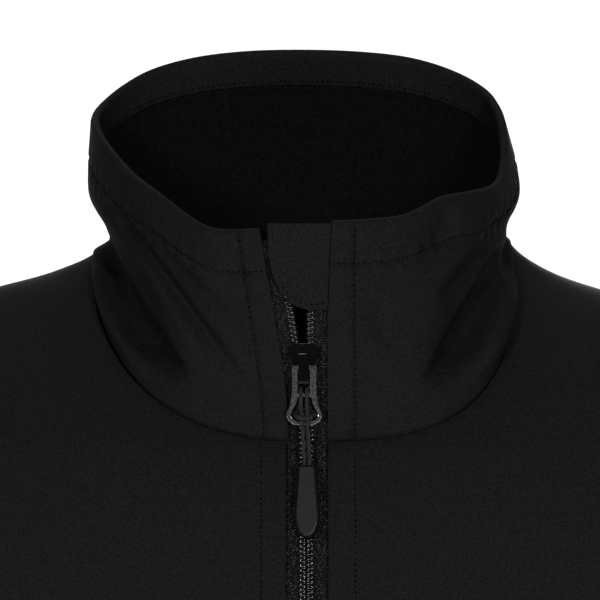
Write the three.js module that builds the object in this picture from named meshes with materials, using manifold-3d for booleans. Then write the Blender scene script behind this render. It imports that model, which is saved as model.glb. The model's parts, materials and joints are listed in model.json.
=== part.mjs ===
// Softshell jacket with a zipped stand collar, men's medium, filled out with no wearer.
// Millimetres, +Z up, the front towards -Y, the wearer's left towards +X.
// The origin lies midway between the two points where the shoulder seams meet the neck.

import * as THREE from 'three';
import Module from 'manifold-3d';
import { mergeGeometries, mergeVertices } from 'three/addons/utils/BufferGeometryUtils.js';

const { lerp, smoothstep, degToRad } = THREE.MathUtils;
const wasm = await Module();
wasm.setup();

// Cloth and seams

const WALL = 1.6;
const SEAM_GAP = 0.3;
const RIGHT = -1;
const LEFT = 1;
const FRONT = -1;
const BACK = 1;

// Torso: one row for each level. right and left are the half widths on the wearer's sides,
// front and back the depths from the side seam's plane, and the two rounds say how square
// each level is, 2 for an ellipse.

const TORSO = [
  { z: -690, right: 200, left: 200, front: 118, back: 110, roundFront: 2.4, roundBack: 2.4 },
  { z: -550, right: 197, left: 197, front: 121, back: 105, roundFront: 2.4, roundBack: 2.4 },
  { z: -400, right: 194, left: 194, front: 125, back: 101, roundFront: 2.4, roundBack: 2.4 },
  { z: -300, right: 200, left: 200, front: 126, back: 110, roundFront: 2.4, roundBack: 2.4 },
  { z: -215, right: 205, left: 205, front: 120, back: 117, roundFront: 2.4, roundBack: 2.35 },
  { z: -170, right: 209, left: 209, front: 111, back: 115, roundFront: 2.4, roundBack: 2.3 },
  { z: -125, right: 215, left: 215, front: 97, back: 109, roundFront: 2.35, roundBack: 2.2 },
  { z: -74, right: 222, left: 221, front: 75.5, back: 94, roundFront: 2.25, roundBack: 2.05 },
  { z: -62, right: 219, left: 218, front: 68, back: 89.5, roundFront: 2.15, roundBack: 2 },
  { z: -45, right: 212, left: 211, front: 55, back: 83, roundFront: 2.05, roundBack: 1.95 },
  { z: -36, right: 190, left: 188, front: 47, back: 79, roundFront: 2, roundBack: 1.9 },
  { z: -27, right: 150, left: 146, front: 40.5, back: 75, roundFront: 2, roundBack: 1.85 },
  { z: -18, right: 117, left: 109, front: 34, back: 70.5, roundFront: 2, roundBack: 1.85 },
  { z: -12, right: 95, left: 92, front: 30, back: 67.5, roundFront: 2, roundBack: 1.85 },
  { z: -5, right: 79, left: 80, front: 26, back: 64.5, roundFront: 2, roundBack: 1.85 },
  { z: 0, right: 74, left: 75, front: 24, back: 62.5, roundFront: 2, roundBack: 1.85 },
  { z: 6, right: 70, left: 69, front: 22, back: 60, roundFront: 2, roundBack: 1.85 },
];

const HEM_Z = -690;
const SHOULDER_TIP_Z = -45;

// Levels of the panels' rows below the underarm, then up the front edge and up the middle back
const BODY_ROWS = [-690, -620, -550, -480, -410, -340, -275, -215];
const FRONT_EDGE_ROWS = [-175, -135, -100, -68];
const BACK_MIDDLE_ROWS = [-168, -121, -77, -35, 3];
const NECK_ROWS_FRONT = 7;
const NECK_ROWS_BACK = 6;
const PANEL_COLUMNS = 12;
const ARMHOLE_STEPS = FRONT_EDGE_ROWS.length + NECK_ROWS_FRONT;

// Distance of the cloth's cut front edges from the middle of the zip
const FRONT_EDGE = { [RIGHT]: 7.2, [LEFT]: 7.7 };

// Neck seam as seen from the front: a rounded U, a little squarer on the wearer's left
const NECK_DROP = 68;
const NECK_FRONT = {
  [RIGHT]: { half: 79.5, round: 2.3 },
  [LEFT]: { half: 76.5, round: 3 },
};
const NECK_BACK_Z = 3;

// Armhole seam from the underarm to the shoulder tip. turn is 0 at the middle of the body
// and 1 at its side.
const ARMHOLE = [
  { step: 0, z: -215, turn: 1 },
  { step: 1, z: -200, turn: 0.816 },
  { step: 2, z: -180, turn: 0.695 },
  { step: 3, z: -155, turn: 0.622 },
  { step: 4, z: -130, turn: 0.596 },
  { step: 5, z: -105, turn: 0.612 },
  { step: 6, z: -80, turn: 0.67 },
  { step: 7, z: -62, turn: 0.763 },
  { step: 8, z: -50, turn: 0.872 },
  { step: 9, z: SHOULDER_TIP_Z, turn: 1 },
];

// A place outside the armhole's middle, and the level above the neck that the collar rises to
const ARMHOLE_MIDDLE = { x: 205, z: -130 };
const COLLAR_MIDDLE_Z = 60;

// Sleeve: level of its middle line below the armhole, and half widths of each section
const SLEEVE = [
  { down: 0, x: 265, y: 0, z: -235, across: 56, deep: 73 },
  { down: 100, x: 285, y: 1, z: -333, across: 51, deep: 66 },
  { down: 190, x: 295, y: -4, z: -423, across: 47, deep: 60 },
  { down: 300, x: 303, y: -15, z: -532, across: 40, deep: 50 },
  { down: 425, x: 309, y: -33, z: -655, across: 31, deep: 38 },
];
const SLEEVE_LENGTH = 425;
const SLEEVE_ROWS = [0, 50, 100, 145, 190, 240, 300, 365, SLEEVE_LENGTH];
const CAP_STEPS = 5;

// The cap leaves the armhole outwards above its middle and hangs down below it. The two
// pulls say how far it keeps each end's direction, as shares of its length.
const CAP = { hangOut: 0.85, hangDown: -0.5, low: -208, high: -150, leave: 0.85, arrive: 0.9 };
const CAP_MIDDLE = { x: 262, z: -210 };

// Collar rim from the wearer's right front edge round the back to the left one
const RIM = [
  { x: -17, y: -66.5, z: 8.2 },
  { x: -36, y: -63, z: 8.8 },
  { x: -54.5, y: -48, z: 20.7 },
  { x: -63.6, y: -36, z: 26.7 },
  { x: -73.1, y: -19, z: 36 },
  { x: -78.4, y: -6, z: 42.3 },
  { x: -80.3, y: 6, z: 46.4 },
  { x: -78.2, y: 17, z: 50.7 },
  { x: -71.1, y: 27.5, z: 56.7 },
  { x: -59.3, y: 35, z: 63.2 },
  { x: -42.3, y: 39.8, z: 68 },
  { x: -22, y: 41.7, z: 70.6 },
  { x: 0, y: 42, z: 71.1 },
  { x: 22, y: 41.6, z: 70.2 },
  { x: 40.1, y: 39.7, z: 68 },
  { x: 55.5, y: 34, z: 63.4 },
  { x: 67.4, y: 24.5, z: 57 },
  { x: 72.6, y: 13, z: 50 },
  { x: 74.2, y: 1, z: 41.7 },
  { x: 73.7, y: -11, z: 31.5 },
  { x: 71.1, y: -22, z: 24.6 },
  { x: 66.8, y: -31.5, z: 21.8 },
  { x: 58.2, y: -42.5, z: 20.3 },
  { x: 49.3, y: -49.5, z: 18.9 },
  { x: 42.6, y: -55, z: 15.8 },
  { x: 34, y: -60.3, z: 12.6 },
  { x: 20, y: -65, z: 11.2 },
  { x: 9.3, y: -66.5, z: 11 },
];

// How far the collar swells out between its seam and its rim, round the neck
const COLLAR_SWELL = [
  { turn: 0, swell: 2 },
  { turn: 0.12, swell: 4 },
  { turn: 0.28, swell: 1.5 },
  { turn: 0.38, swell: 2 },
  { turn: 0.5, swell: 3.5 },
  { turn: 0.64, swell: 3 },
  { turn: 0.75, swell: 5 },
  { turn: 0.88, swell: 4 },
  { turn: 1, swell: 2 },
];
const COLLAR_ROWS = 8;

// The neck as an ellipse, which says which way is out of the collar all round it
const NECK_OVAL = { x: 80, y: 62, middleY: -8 };

// The collar's folds die out behind these depths, and towards its seam and its rim
const FOLDS_END_Y = { from: 12, to: 32 };
const FOLDS_RISE = { seam: 0.12, rim: 0.86 };
const COLLAR_STEPS_FRONT = 3;
const COLLAR_STEPS_BACK = 2;

// The collar's front edges bow towards the zip where the slider still holds them
const EDGE_BOW = {
  [RIGHT]: { bow: 2.4, peak: 0.6, reach: 40 },
  [LEFT]: { bow: -1, peak: 1.2, reach: 25 },
};

const TURN_IN_WIDTH = 14;
const TURN_IN_WALL = 1.1;
const TURN_IN_START = 9.5;

// Folds, as seen from the front: a soft trough along a bowed line, or a roll where the depth
// is negative. fadeIn and fadeOut are the shares of its length over which it rises and dies.
const COLLAR_FOLDS = [
  { from: [-82, 6], by: [-66, -6], to: [-41, -50], depth: 6.5, width: 7.5, fadeIn: 0, fadeOut: 0.45 },
  { from: [-71, 17], by: [-50, -5], to: [-17, -49], depth: 2.2, width: 5, fadeIn: 0.3, fadeOut: 0.5 },
  { from: [-38, -13], by: [-31, -17], to: [-22, -21], depth: 0.9, width: 6, fadeIn: 0.4, fadeOut: 0.4 },
  { from: [78, 6], by: [66, -8], to: [40, -52], depth: 6, width: 8, fadeIn: 0, fadeOut: 0.4 },
  { from: [44, -20], by: [55, -17], to: [69, 2], depth: 1.3, width: 4.5, fadeIn: 0.4, fadeOut: 0.4 },
  { from: [21, -31], by: [26, -26], to: [30, -17], depth: 0.8, width: 5, fadeIn: 0.4, fadeOut: 0.4 },
  { from: [50, 20], by: [52, 4], to: [38, -4], depth: 1.2, width: 5, fadeIn: 0.1, fadeOut: 0.5 },
  { from: [-84, -4], by: [-74, -24], to: [-54, -50], depth: -2.6, width: 6, fadeIn: 0.1, fadeOut: 0.4 },
  { from: [80, -10], by: [72, -30], to: [56, -50], depth: -2.4, width: 6, fadeIn: 0.1, fadeOut: 0.4 },
];

const FRONT_FOLDS = [
  { from: [205, -235], by: [150, -275], to: [70, -330], depth: 5, width: 22, fadeIn: 0.1, fadeOut: 0.5 },
  { from: [-205, -240], by: [-150, -285], to: [-80, -345], depth: 5, width: 22, fadeIn: 0.1, fadeOut: 0.5 },
  { from: [200, -380], by: [120, -420], to: [50, -405], depth: 4, width: 24, fadeIn: 0.1, fadeOut: 0.5 },
  { from: [-200, -390], by: [-130, -435], to: [-45, -420], depth: 4, width: 24, fadeIn: 0.1, fadeOut: 0.5 },
  { from: [140, -470], by: [120, -560], to: [130, -660], depth: 3.5, width: 26, fadeIn: 0.4, fadeOut: 0.4 },
  { from: [-130, -480], by: [-115, -560], to: [-125, -670], depth: 3, width: 26, fadeIn: 0.4, fadeOut: 0.4 },
];

const BACK_FOLDS = [
  { from: [205, -240], by: [150, -290], to: [60, -340], depth: 5, width: 24, fadeIn: 0.1, fadeOut: 0.5 },
  { from: [-205, -235], by: [-150, -285], to: [-50, -330], depth: 5, width: 24, fadeIn: 0.1, fadeOut: 0.5 },
  { from: [195, -400], by: [90, -440], to: [-10, -425], depth: 4, width: 24, fadeIn: 0.1, fadeOut: 0.4 },
  { from: [-195, -375], by: [-120, -410], to: [-20, -395], depth: 4, width: 22, fadeIn: 0.1, fadeOut: 0.4 },
  { from: [-90, -480], by: [-75, -560], to: [-95, -660], depth: 3.5, width: 28, fadeIn: 0.4, fadeOut: 0.4 },
  { from: [100, -500], by: [90, -580], to: [105, -670], depth: 3.5, width: 28, fadeIn: 0.4, fadeOut: 0.4 },
];
const BODY_FOLDS = { [FRONT]: FRONT_FOLDS, [BACK]: BACK_FOLDS };
const FOLD_SAMPLES = 16;

// Depth from the side seam over which the body's folds grow to their full depth
const FOLDS_FULL_BY = 60;

// Sleeve folds: a ring of soft troughs at the elbow and above the cuff. at is the distance
// down the sleeve, facing the angle round it from the outside, towards the front.
const SLEEVE_FOLDS = [
  { at: 25, facing: 180, depth: 5, width: 16, reach: 80 },
  { at: 150, facing: 110, depth: 5, width: 15, reach: 75 },
  { at: 195, facing: 75, depth: 6, width: 15, reach: 85 },
  { at: 240, facing: 130, depth: 5, width: 15, reach: 75 },
  { at: 330, facing: 290, depth: 3.5, width: 16, reach: 80 },
  { at: 385, facing: 60, depth: 3.5, width: 14, reach: 90 },
];

// Zip: depths below the cloth's outer face
const TAPE_FRONT = 2;
const TAPE_BACK = 2.8;
const CHAIN_FRONT = 0.9;
const TAPE_ACROSS = [-8, 0, 3.95, 4.05];
const CHAIN_START_Z = -663;
const PIN_TOP_Z = -664;

// Zip garage: a small flap over the top of the zip. edge is its free edge on the wearer's right.
const GARAGE = [
  { z: -21.1, edge: 0.6 },
  { z: -19.6, edge: -3.7 },
  { z: -17.4, edge: -6.6 },
  { z: -14.4, edge: -9 },
  { z: -11, edge: -11 },
  { z: -5.9, edge: -12.7 },
  { z: 1.5, edge: -13.5 },
  { z: 9.6, edge: -14 },
];
const GARAGE_OUT = 0.4;
const GARAGE_IN = 0.6;
const GARAGE_COLUMNS = 4;

// Slider and puller, in the zip's own plane: x across, y inwards, z along, from the hinge pin
const SLIDER = { x: -0.8, z: -41.5, top: 8.6, face: -1, seat: 0.6, thick: 1.2 };
const BRIDGE = { half: 1.9, x: -0.1, top: 5.3, bottom: -5.8, out: -5.2, bar: 1.3 };
const HINGE_Y = -2.65;
const PULLER_THICK = 1.2;
const CROSSBAR_Z = -9.5;
const BAR_HEIGHT = 1;
const TAB = { x: 1.1, y: -6.2, z: -34.7, tilt: -20.5, twist: -8, length: 26.2, thick: 4 };

// Pull cord, in the same plane: up the right strand from the tab, over the crossbar, round
// both strands as the loop of the hitch, and down the left strand
const CORD_DIAMETER = 1.65;
const CORD_SIDES = 8;
const CORD_STEPS = 64;
const CORD_ROUTE = [
  [2.1, -6.2, -34.3], [1.8, -5.45, -28.5], [1.4, -4.85, -22.5], [1.25, -4.6, -18.5],
  [1.1, -4.52, -14], [1.05, -4.5, -10.6], [1.05, -4.32, -8.9], [1.05, -3.6, -7.92],
  [1.05, -2.65, -7.65], [1.05, -1.7, -7.92], [1.08, -0.98, -8.9], [1.15, -0.8, -10.6],
  [1.35, -0.85, -12.6], [1.9, -1.25, -14.5], [2.9, -2.3, -15.8], [3.4, -3.8, -16.5],
  [2.95, -5.5, -17.1], [1.7, -6.45, -17.6], [0.25, -6.65, -17.8], [-1.2, -6.45, -17.6],
  [-2.5, -5.5, -17.1], [-3, -3.8, -16.5], [-2.6, -2.3, -15.8], [-1.8, -1.25, -14.5],
  [-1.35, -0.85, -12.6], [-1.2, -0.8, -10.6], [-1.13, -0.98, -8.9], [-1.1, -1.7, -7.92],
  [-1.1, -2.65, -7.65], [-1.1, -3.6, -7.92], [-1.1, -4.32, -8.9], [-1.1, -4.5, -10.6],
  [-1.05, -4.52, -14], [-0.75, -4.6, -18.5], [-0.45, -4.85, -22.5], [-0.1, -5.45, -28.5],
  [0.2, -6.2, -34.3],
];

const cloth = new THREE.MeshStandardMaterial({ color: 0x1c1c1d, roughness: 0.9 });
const fleece = new THREE.MeshStandardMaterial({ color: 0x131214, roughness: 1 });
const tape = new THREE.MeshStandardMaterial({ color: 0x161612, roughness: 0.85 });
const blackMetal = new THREE.MeshStandardMaterial({ color: 0x0c0c0d, roughness: 0.45, metalness: 0.6 });
const chrome = new THREE.MeshStandardMaterial({ color: 0xc8c8c8, roughness: 0.15, metalness: 1 });
const cord = new THREE.MeshStandardMaterial({ color: 0x2a2926, roughness: 0.9 });
const rubber = new THREE.MeshStandardMaterial({ color: 0x242424, roughness: 0.6 });
const plastic = new THREE.MeshStandardMaterial({ color: 0x101010, roughness: 0.5 });

const jacket = new THREE.Group();

function add(name, geometry, material, parent = jacket) {
  const mesh = new THREE.Mesh(geometry, material);
  mesh.name = name;
  parent.add(mesh);
  return mesh;
}

// A smooth value between the rows of a table, without overshoot
function between(rows, by, key, at) {
  const last = rows.length - 1;
  if (at <= rows[0][by]) return rows[0][key];
  if (at >= rows[last][by]) return rows[last][key];
  let row = 0;
  while (rows[row + 1][by] < at) row += 1;
  const slope = (k) => (rows[k + 1][key] - rows[k][key]) / (rows[k + 1][by] - rows[k][by]);
  const slopeAt = (k) => {
    if (k === 0 || k === last) return slope(Math.min(k, last - 1));
    const before = slope(k - 1);
    const after = slope(k);
    return before * after <= 0 ? 0 : (2 * before * after) / (before + after);
  };
  const span = rows[row + 1][by] - rows[row][by];
  const f = (at - rows[row][by]) / span;
  const low = rows[row][key];
  const high = rows[row + 1][key];
  const ease = f * f * (3 - 2 * f);
  const leave = f * (1 - f) * (1 - f) * slopeAt(row) * span;
  const arrive = f * f * (1 - f) * slopeAt(row + 1) * span;
  return lerp(low, high, ease) + leave - arrive;
}

// How far the cloth is pushed in by the folds, at a place seen from the front
function foldDepth(folds, x, z) {
  let total = 0;
  for (const fold of folds) {
    let nearest = Infinity;
    let share = 0;
    for (let step = 0; step <= FOLD_SAMPLES; step += 1) {
      const t = step / FOLD_SAMPLES;
      const px = (1 - t) * (1 - t) * fold.from[0] + 2 * t * (1 - t) * fold.by[0] + t * t * fold.to[0];
      const pz = (1 - t) * (1 - t) * fold.from[1] + 2 * t * (1 - t) * fold.by[1] + t * t * fold.to[1];
      const distance = Math.hypot(x - px, z - pz);
      if (distance < nearest) {
        nearest = distance;
        share = t;
      }
    }
    const rise = fold.fadeIn > 0 ? smoothstep(share, 0, fold.fadeIn) : 1;
    const fall = 1 - smoothstep(share, 1 - fold.fadeOut, 1);
    total += fold.depth * rise * fall * Math.exp(-((nearest / fold.width) ** 2));
  }
  return total;
}

// The torso's plain form

function level(z, side, facing) {
  return {
    half: between(TORSO, 'z', side === RIGHT ? 'right' : 'left', z),
    depth: between(TORSO, 'z', facing === FRONT ? 'front' : 'back', z),
    round: between(TORSO, 'z', facing === FRONT ? 'roundFront' : 'roundBack', z),
  };
}

function torsoNormal(point, side, facing) {
  const x = Math.abs(point.x);
  const y = Math.abs(point.y);
  const fill = (z) => {
    const { half, depth, round } = level(z, side, facing);
    return (x / half) ** round + (y / depth) ** round;
  };
  const { half, depth, round } = level(point.z, side, facing);
  const step = 0.5;
  return new THREE.Vector3(
    (side * round * x ** (round - 1)) / half ** round,
    (facing * round * y ** (round - 1)) / depth ** round,
    (fill(point.z + step) - fill(point.z - step)) / (2 * step),
  ).normalize();
}

function torsoSpot(z, turn, side, facing) {
  const { half, depth, round } = level(z, side, facing);
  const angle = (Math.min(turn, 1) * Math.PI) / 2;
  const point = new THREE.Vector3(
    side * half * Math.sin(angle) ** (2 / round),
    facing * depth * Math.max(Math.cos(angle), 0) ** (2 / round),
    z,
  );
  const normal = torsoNormal(point, side, facing);
  const fade = smoothstep(Math.abs(point.y), 0, FOLDS_FULL_BY);
  point.addScaledVector(normal, -fade * foldDepth(BODY_FOLDS[facing], point.x, z));
  return { point, normal };
}

function turnAt(x, z, side, facing) {
  const { half, round } = level(z, side, facing);
  return Math.asin(Math.min(1, Math.abs(x) / half) ** (round / 2)) / (Math.PI / 2);
}

// Neck seam: where the front U meets the shoulder, and rows along both halves

function neckFrontSpot(angle, side) {
  const { half, round } = NECK_FRONT[side];
  const x = half * Math.sin(angle) ** (2 / round);
  const z = -NECK_DROP * Math.max(Math.cos(angle), 0) ** (2 / round);
  return { x, z };
}

function neckCorner(side) {
  let low = Math.PI / 4;
  let high = Math.PI / 2;
  for (let step = 0; step < 40; step += 1) {
    const middle = (low + high) / 2;
    const { x, z } = neckFrontSpot(middle, side);
    if (x < level(z, side, FRONT).half) low = middle;
    else high = middle;
  }
  return { angle: low, z: neckFrontSpot(low, side).z };
}

const NECK_CORNER = { [RIGHT]: neckCorner(RIGHT), [LEFT]: neckCorner(LEFT) };

// Positions along a line at even steps of its real length
function evenShares(line, count) {
  const samples = 240;
  const lengths = [0];
  for (let i = 1; i <= samples; i += 1) {
    lengths.push(lengths[i - 1] + line((i - 1) / samples).distanceTo(line(i / samples)));
  }
  const shares = [];
  let i = 0;
  for (let step = 0; step <= count; step += 1) {
    const target = (lengths[samples] * step) / count;
    while (i < samples - 1 && lengths[i + 1] < target) i += 1;
    const part = (target - lengths[i]) / (lengths[i + 1] - lengths[i]);
    shares.push(Math.min(1, Math.max(0, (i + part) / samples)));
  }
  return shares;
}

function neckFrontPlace(share, side) {
  const start = Math.asin((FRONT_EDGE[side] / NECK_FRONT[side].half) ** (NECK_FRONT[side].round / 2));
  const { x, z } = neckFrontSpot(lerp(start, NECK_CORNER[side].angle, share), side);
  return { z, turn: share === 1 ? 1 : turnAt(x, z, side, FRONT) };
}

function neckBackPlace(share, side) {
  return { z: lerp(NECK_BACK_Z, NECK_CORNER[side].z, share * share), turn: share };
}

function armholePlace(share) {
  const step = share * (ARMHOLE.length - 1);
  return { z: between(ARMHOLE, 'step', 'z', step), turn: between(ARMHOLE, 'step', 'turn', step) };
}

function placesAlong(place, count, side, facing) {
  const line = (share) => {
    const { z, turn } = place(share, side);
    return torsoSpot(z, turn, side, facing).point;
  };
  return evenShares(line, count).map((share) => place(share, side));
}

// Rows of one half of the front or back: its inner end on the front edge or middle back and
// then the neck, its outer end on the side seam and then the armhole.
function panelRows(side, facing) {
  const edge = facing === FRONT ? FRONT_EDGE[side] : 0;
  const upper = facing === FRONT ? FRONT_EDGE_ROWS : BACK_MIDDLE_ROWS;
  const neckPlace = facing === FRONT ? neckFrontPlace : neckBackPlace;
  const neckRows = facing === FRONT ? NECK_ROWS_FRONT : NECK_ROWS_BACK;
  const levels = [...BODY_ROWS, ...upper.slice(0, -1)];
  const inner = levels.map((z) => ({ z, turn: turnAt(edge, z, side, facing) }));
  inner.push(...placesAlong(neckPlace, neckRows, side, facing));
  const outer = BODY_ROWS.slice(0, -1).map((z) => ({ z, turn: 1 }));
  outer.push(...placesAlong(armholePlace, ARMHOLE_STEPS, side, FRONT));
  return { inner, outer };
}

// Direction in the cloth's surface from each spot of a seam line over the seam, towards a place
function overSeam(spots, towards) {
  return spots.map(({ point, normal }, i) => {
    const before = spots[Math.max(i - 1, 0)].point;
    const after = spots[Math.min(i + 1, spots.length - 1)].point;
    const over = after.clone().sub(before).cross(normal).normalize();
    if (over.dot(towards.clone().sub(point)) < 0) over.negate();
    return over;
  });
}

function placeSpots(places, side, facing) {
  return places.map(({ z, turn }) => torsoSpot(z, turn, side, facing));
}

function armholeEdge(side, facing) {
  const places = panelRows(side, facing).outer.slice(BODY_ROWS.length - 1);
  const spots = placeSpots(places, side, facing);
  const overs = overSeam(spots, new THREE.Vector3(side * ARMHOLE_MIDDLE.x, 0, ARMHOLE_MIDDLE.z));
  overs[0].set(0, 0, 1);
  return spots.map((spot, i) => ({ ...spot, over: overs[i] }));
}

function neckEdge(side, facing) {
  const neckPlace = facing === FRONT ? neckFrontPlace : neckBackPlace;
  const neckRows = facing === FRONT ? NECK_ROWS_FRONT : NECK_ROWS_BACK;
  const spots = placeSpots(placesAlong(neckPlace, neckRows, side, facing), side, facing);
  const overs = overSeam(spots, new THREE.Vector3(0, 0, COLLAR_MIDDLE_Z));
  if (facing === BACK) overs[0].setX(0).normalize();
  return spots.map((spot, i) => ({ ...spot, over: overs[i] }));
}

// One half of the front or back as a grid of spots, drawn in by half a gap at its seams
function panelGrid(side, facing) {
  const { inner, outer } = panelRows(side, facing);
  const grid = inner.map((start, row) => {
    const end = outer[row];
    const places = [];
    for (let column = 0; column <= PANEL_COLUMNS; column += 1) {
      const share = column / PANEL_COLUMNS;
      places.push({ z: lerp(start.z, end.z, share), turn: lerp(start.turn, end.turn, share) });
    }
    return placeSpots(places, side, facing);
  });
  const drawIn = (spot, towards) => spot.point.addScaledVector(towards, SEAM_GAP / 2);
  const last = PANEL_COLUMNS;
  for (const spots of grid.slice(0, BODY_ROWS.length)) {
    drawIn(spots[last], spots[last - 1].point.clone().sub(spots[last].point).normalize());
  }
  const topRow = grid.length - 1;
  grid[topRow].forEach((spot, column) => {
    drawIn(spot, grid[topRow - 1][column].point.clone().sub(spot.point).normalize());
  });
  armholeEdge(side, facing).forEach(({ over }, i) => {
    drawIn(grid[BODY_ROWS.length - 1 + i][last], over.clone().negate());
  });
  const neck = neckEdge(side, facing);
  neck.forEach(({ over }, i) => drawIn(grid[grid.length - neck.length + i][0], over.clone().negate()));
  return grid;
}

// A wall between two depths below a grid of spots, closed all round or open like a panel.
// A depth is one number, or a function of row and column. joinedRows leaves the wall's first
// edge open over that many rows, for its mirror half to close.
function wallBetween(grid, outerDepth, innerDepth, { closed = false, joinedRows = 0 } = {}) {
  const rows = grid.length;
  const columns = grid[0].length;
  const positions = [];
  for (const depth of [outerDepth, innerDepth]) {
    grid.forEach((spots, row) => spots.forEach(({ point, normal }, column) => {
      const d = typeof depth === 'function' ? depth(row, column) : depth;
      positions.push(...point.clone().addScaledVector(normal, -d).toArray());
    }));
  }
  const outer = (row, column) => row * columns + (column % columns);
  const inner = (row, column) => outer(row, column) + rows * columns;
  const along = grid[0][1].point.clone().sub(grid[0][0].point);
  const up = grid[1][0].point.clone().sub(grid[0][0].point);
  const facesOut = along.cross(up).dot(grid[0][0].normal) > 0;
  const triangles = [];
  const quad = (p, q, r, s) => {
    if (facesOut) triangles.push(p, q, r, p, r, s);
    else triangles.push(p, r, q, p, s, r);
  };
  const top = rows - 1;
  const end = columns - 1;
  const lastColumn = closed ? columns : end;
  for (let c = 0; c < lastColumn; c += 1) {
    for (let r = 0; r < top; r += 1) {
      quad(outer(r, c), outer(r, c + 1), outer(r + 1, c + 1), outer(r + 1, c));
      quad(inner(r, c), inner(r + 1, c), inner(r + 1, c + 1), inner(r, c + 1));
    }
    quad(outer(0, c), inner(0, c), inner(0, c + 1), outer(0, c + 1));
    quad(outer(top, c), outer(top, c + 1), inner(top, c + 1), inner(top, c));
  }
  if (!closed) {
    for (let r = 0; r < top; r += 1) {
      if (r >= joinedRows) quad(outer(r, 0), outer(r + 1, 0), inner(r + 1, 0), inner(r, 0));
      quad(outer(r, end), inner(r, end), inner(r + 1, end), outer(r + 1, end));
    }
  }
  const geometry = new THREE.BufferGeometry();
  geometry.setAttribute('position', new THREE.Float32BufferAttribute(positions, 3));
  geometry.setIndex(triangles);
  return geometry;
}

// Fronts and back

add('front_right', wallBetween(panelGrid(RIGHT, FRONT), 0, WALL), cloth);
add('front_left', wallBetween(panelGrid(LEFT, FRONT), 0, WALL), cloth);

const backRows = BODY_ROWS.length + BACK_MIDDLE_ROWS.length - 1;
const backHalves = [RIGHT, LEFT].map((side) => (
  wallBetween(panelGrid(side, BACK), 0, WALL, { joinedRows: backRows })
));
add('back', mergeVertices(mergeGeometries(backHalves)), cloth);

// Directions out of a surface at each point of a grid, worked out from its neighbours
function surfaceNormals(points, closed, middle) {
  const rows = points.length;
  const columns = points[0].length;
  const at = (row, column) => {
    const r = Math.min(Math.max(row, 0), rows - 1);
    const c = closed ? (column + columns) % columns : Math.min(Math.max(column, 0), columns - 1);
    return points[r][c];
  };
  let outwards = 0;
  const grid = points.map((line, row) => line.map((point, column) => {
    const along = at(row, column + 1).clone().sub(at(row, column - 1));
    const up = at(row + 1, column).clone().sub(at(row - 1, column));
    const normal = along.cross(up).normalize();
    outwards += normal.dot(point.clone().sub(middle));
    return { point, normal };
  }));
  if (outwards < 0) grid.flat().forEach(({ normal }) => normal.negate());
  return grid;
}

// Sleeves: a cap that leaves the armhole smoothly, then sections square to the arm's line

function armSection(down, side) {
  const read = (key, at = down) => between(SLEEVE, 'down', key, at);
  const centre = new THREE.Vector3(side * read('x'), read('y'), read('z'));
  const lower = Math.min(down + 1, SLEEVE_LENGTH);
  const upper = Math.max(down - 1, 0);
  const axis = new THREE.Vector3(
    side * (read('x', lower) - read('x', upper)),
    read('y', lower) - read('y', upper),
    read('z', lower) - read('z', upper),
  ).normalize();
  const across = new THREE.Vector3(side, 0, 0).addScaledVector(axis, -side * axis.x).normalize();
  const deep = across.clone().cross(axis).normalize();
  if (deep.y > 0) deep.negate();
  return { centre, axis, across, deep, halfAcross: read('across'), halfDeep: read('deep') };
}

function armPoint(section, angle) {
  return section.centre.clone()
    .addScaledVector(section.across, section.halfAcross * Math.cos(angle))
    .addScaledVector(section.deep, section.halfDeep * Math.sin(angle));
}

function sleeveFold(down, angle) {
  return SLEEVE_FOLDS.reduce((sum, fold) => {
    const turned = Math.abs(((THREE.MathUtils.radToDeg(angle) - fold.facing + 540) % 360) - 180);
    const near = Math.exp(-(((down - fold.at) / fold.width) ** 2) - (turned / fold.reach) ** 2);
    return sum + fold.depth * near;
  }, 0);
}

function sleeve(side) {
  const front = armholeEdge(side, FRONT);
  const back = armholeEdge(side, BACK);
  const armhole = [...front.slice().reverse(), ...back.slice(1, -1)];
  const angles = armhole.map((spot, i) => (2 * Math.PI * i) / armhole.length);
  const first = armSection(0, side);
  const start = armhole.map(({ point, over }) => point.clone().addScaledVector(over, SEAM_GAP / 2));
  const hanging = new THREE.Vector3(side * CAP.hangOut, 0, CAP.hangDown).normalize();
  const highness = armhole.map(({ point }) => smoothstep(point.z, CAP.low, CAP.high));
  const points = [start];
  for (let step = 1; step < CAP_STEPS; step += 1) {
    const t = step / CAP_STEPS;
    points.push(armhole.map(({ over }, i) => {
      const goal = armPoint(first, angles[i]);
      const reach = goal.distanceTo(start[i]);
      const leave = hanging.clone().lerp(over, highness[i]).normalize().multiplyScalar(CAP.leave * reach);
      const arrive = first.axis.clone().multiplyScalar(CAP.arrive * reach);
      const ease = t * t * (3 - 2 * t);
      return start[i].clone().lerp(goal, ease)
        .addScaledVector(leave, t * (1 - t) * (1 - t))
        .addScaledVector(arrive, -t * t * (1 - t));
    }));
  }
  for (const down of SLEEVE_ROWS) {
    const section = armSection(down, side);
    points.push(angles.map((angle) => {
      const fold = sleeveFold(down, angle);
      const point = armPoint(section, angle);
      const inwards = section.centre.clone().sub(point).normalize();
      return point.addScaledVector(inwards, fold);
    }));
  }
  const grid = surfaceNormals(points, true, new THREE.Vector3(side * CAP_MIDDLE.x, 0, CAP_MIDDLE.z));
  grid[0].forEach((spot, i) => spot.normal.lerp(armhole[i].normal, highness[i]).normalize());
  return wallBetween(grid, 0, WALL, { closed: true });
}

add('sleeve_right', sleeve(RIGHT), cloth);
add('sleeve_left', sleeve(LEFT), cloth);

// Collar: from the neck seam to the rim, with its folds

const rimCurve = new THREE.CatmullRomCurve3(RIM.map(({ x, y, z }) => new THREE.Vector3(x, y, z)), false);

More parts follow.
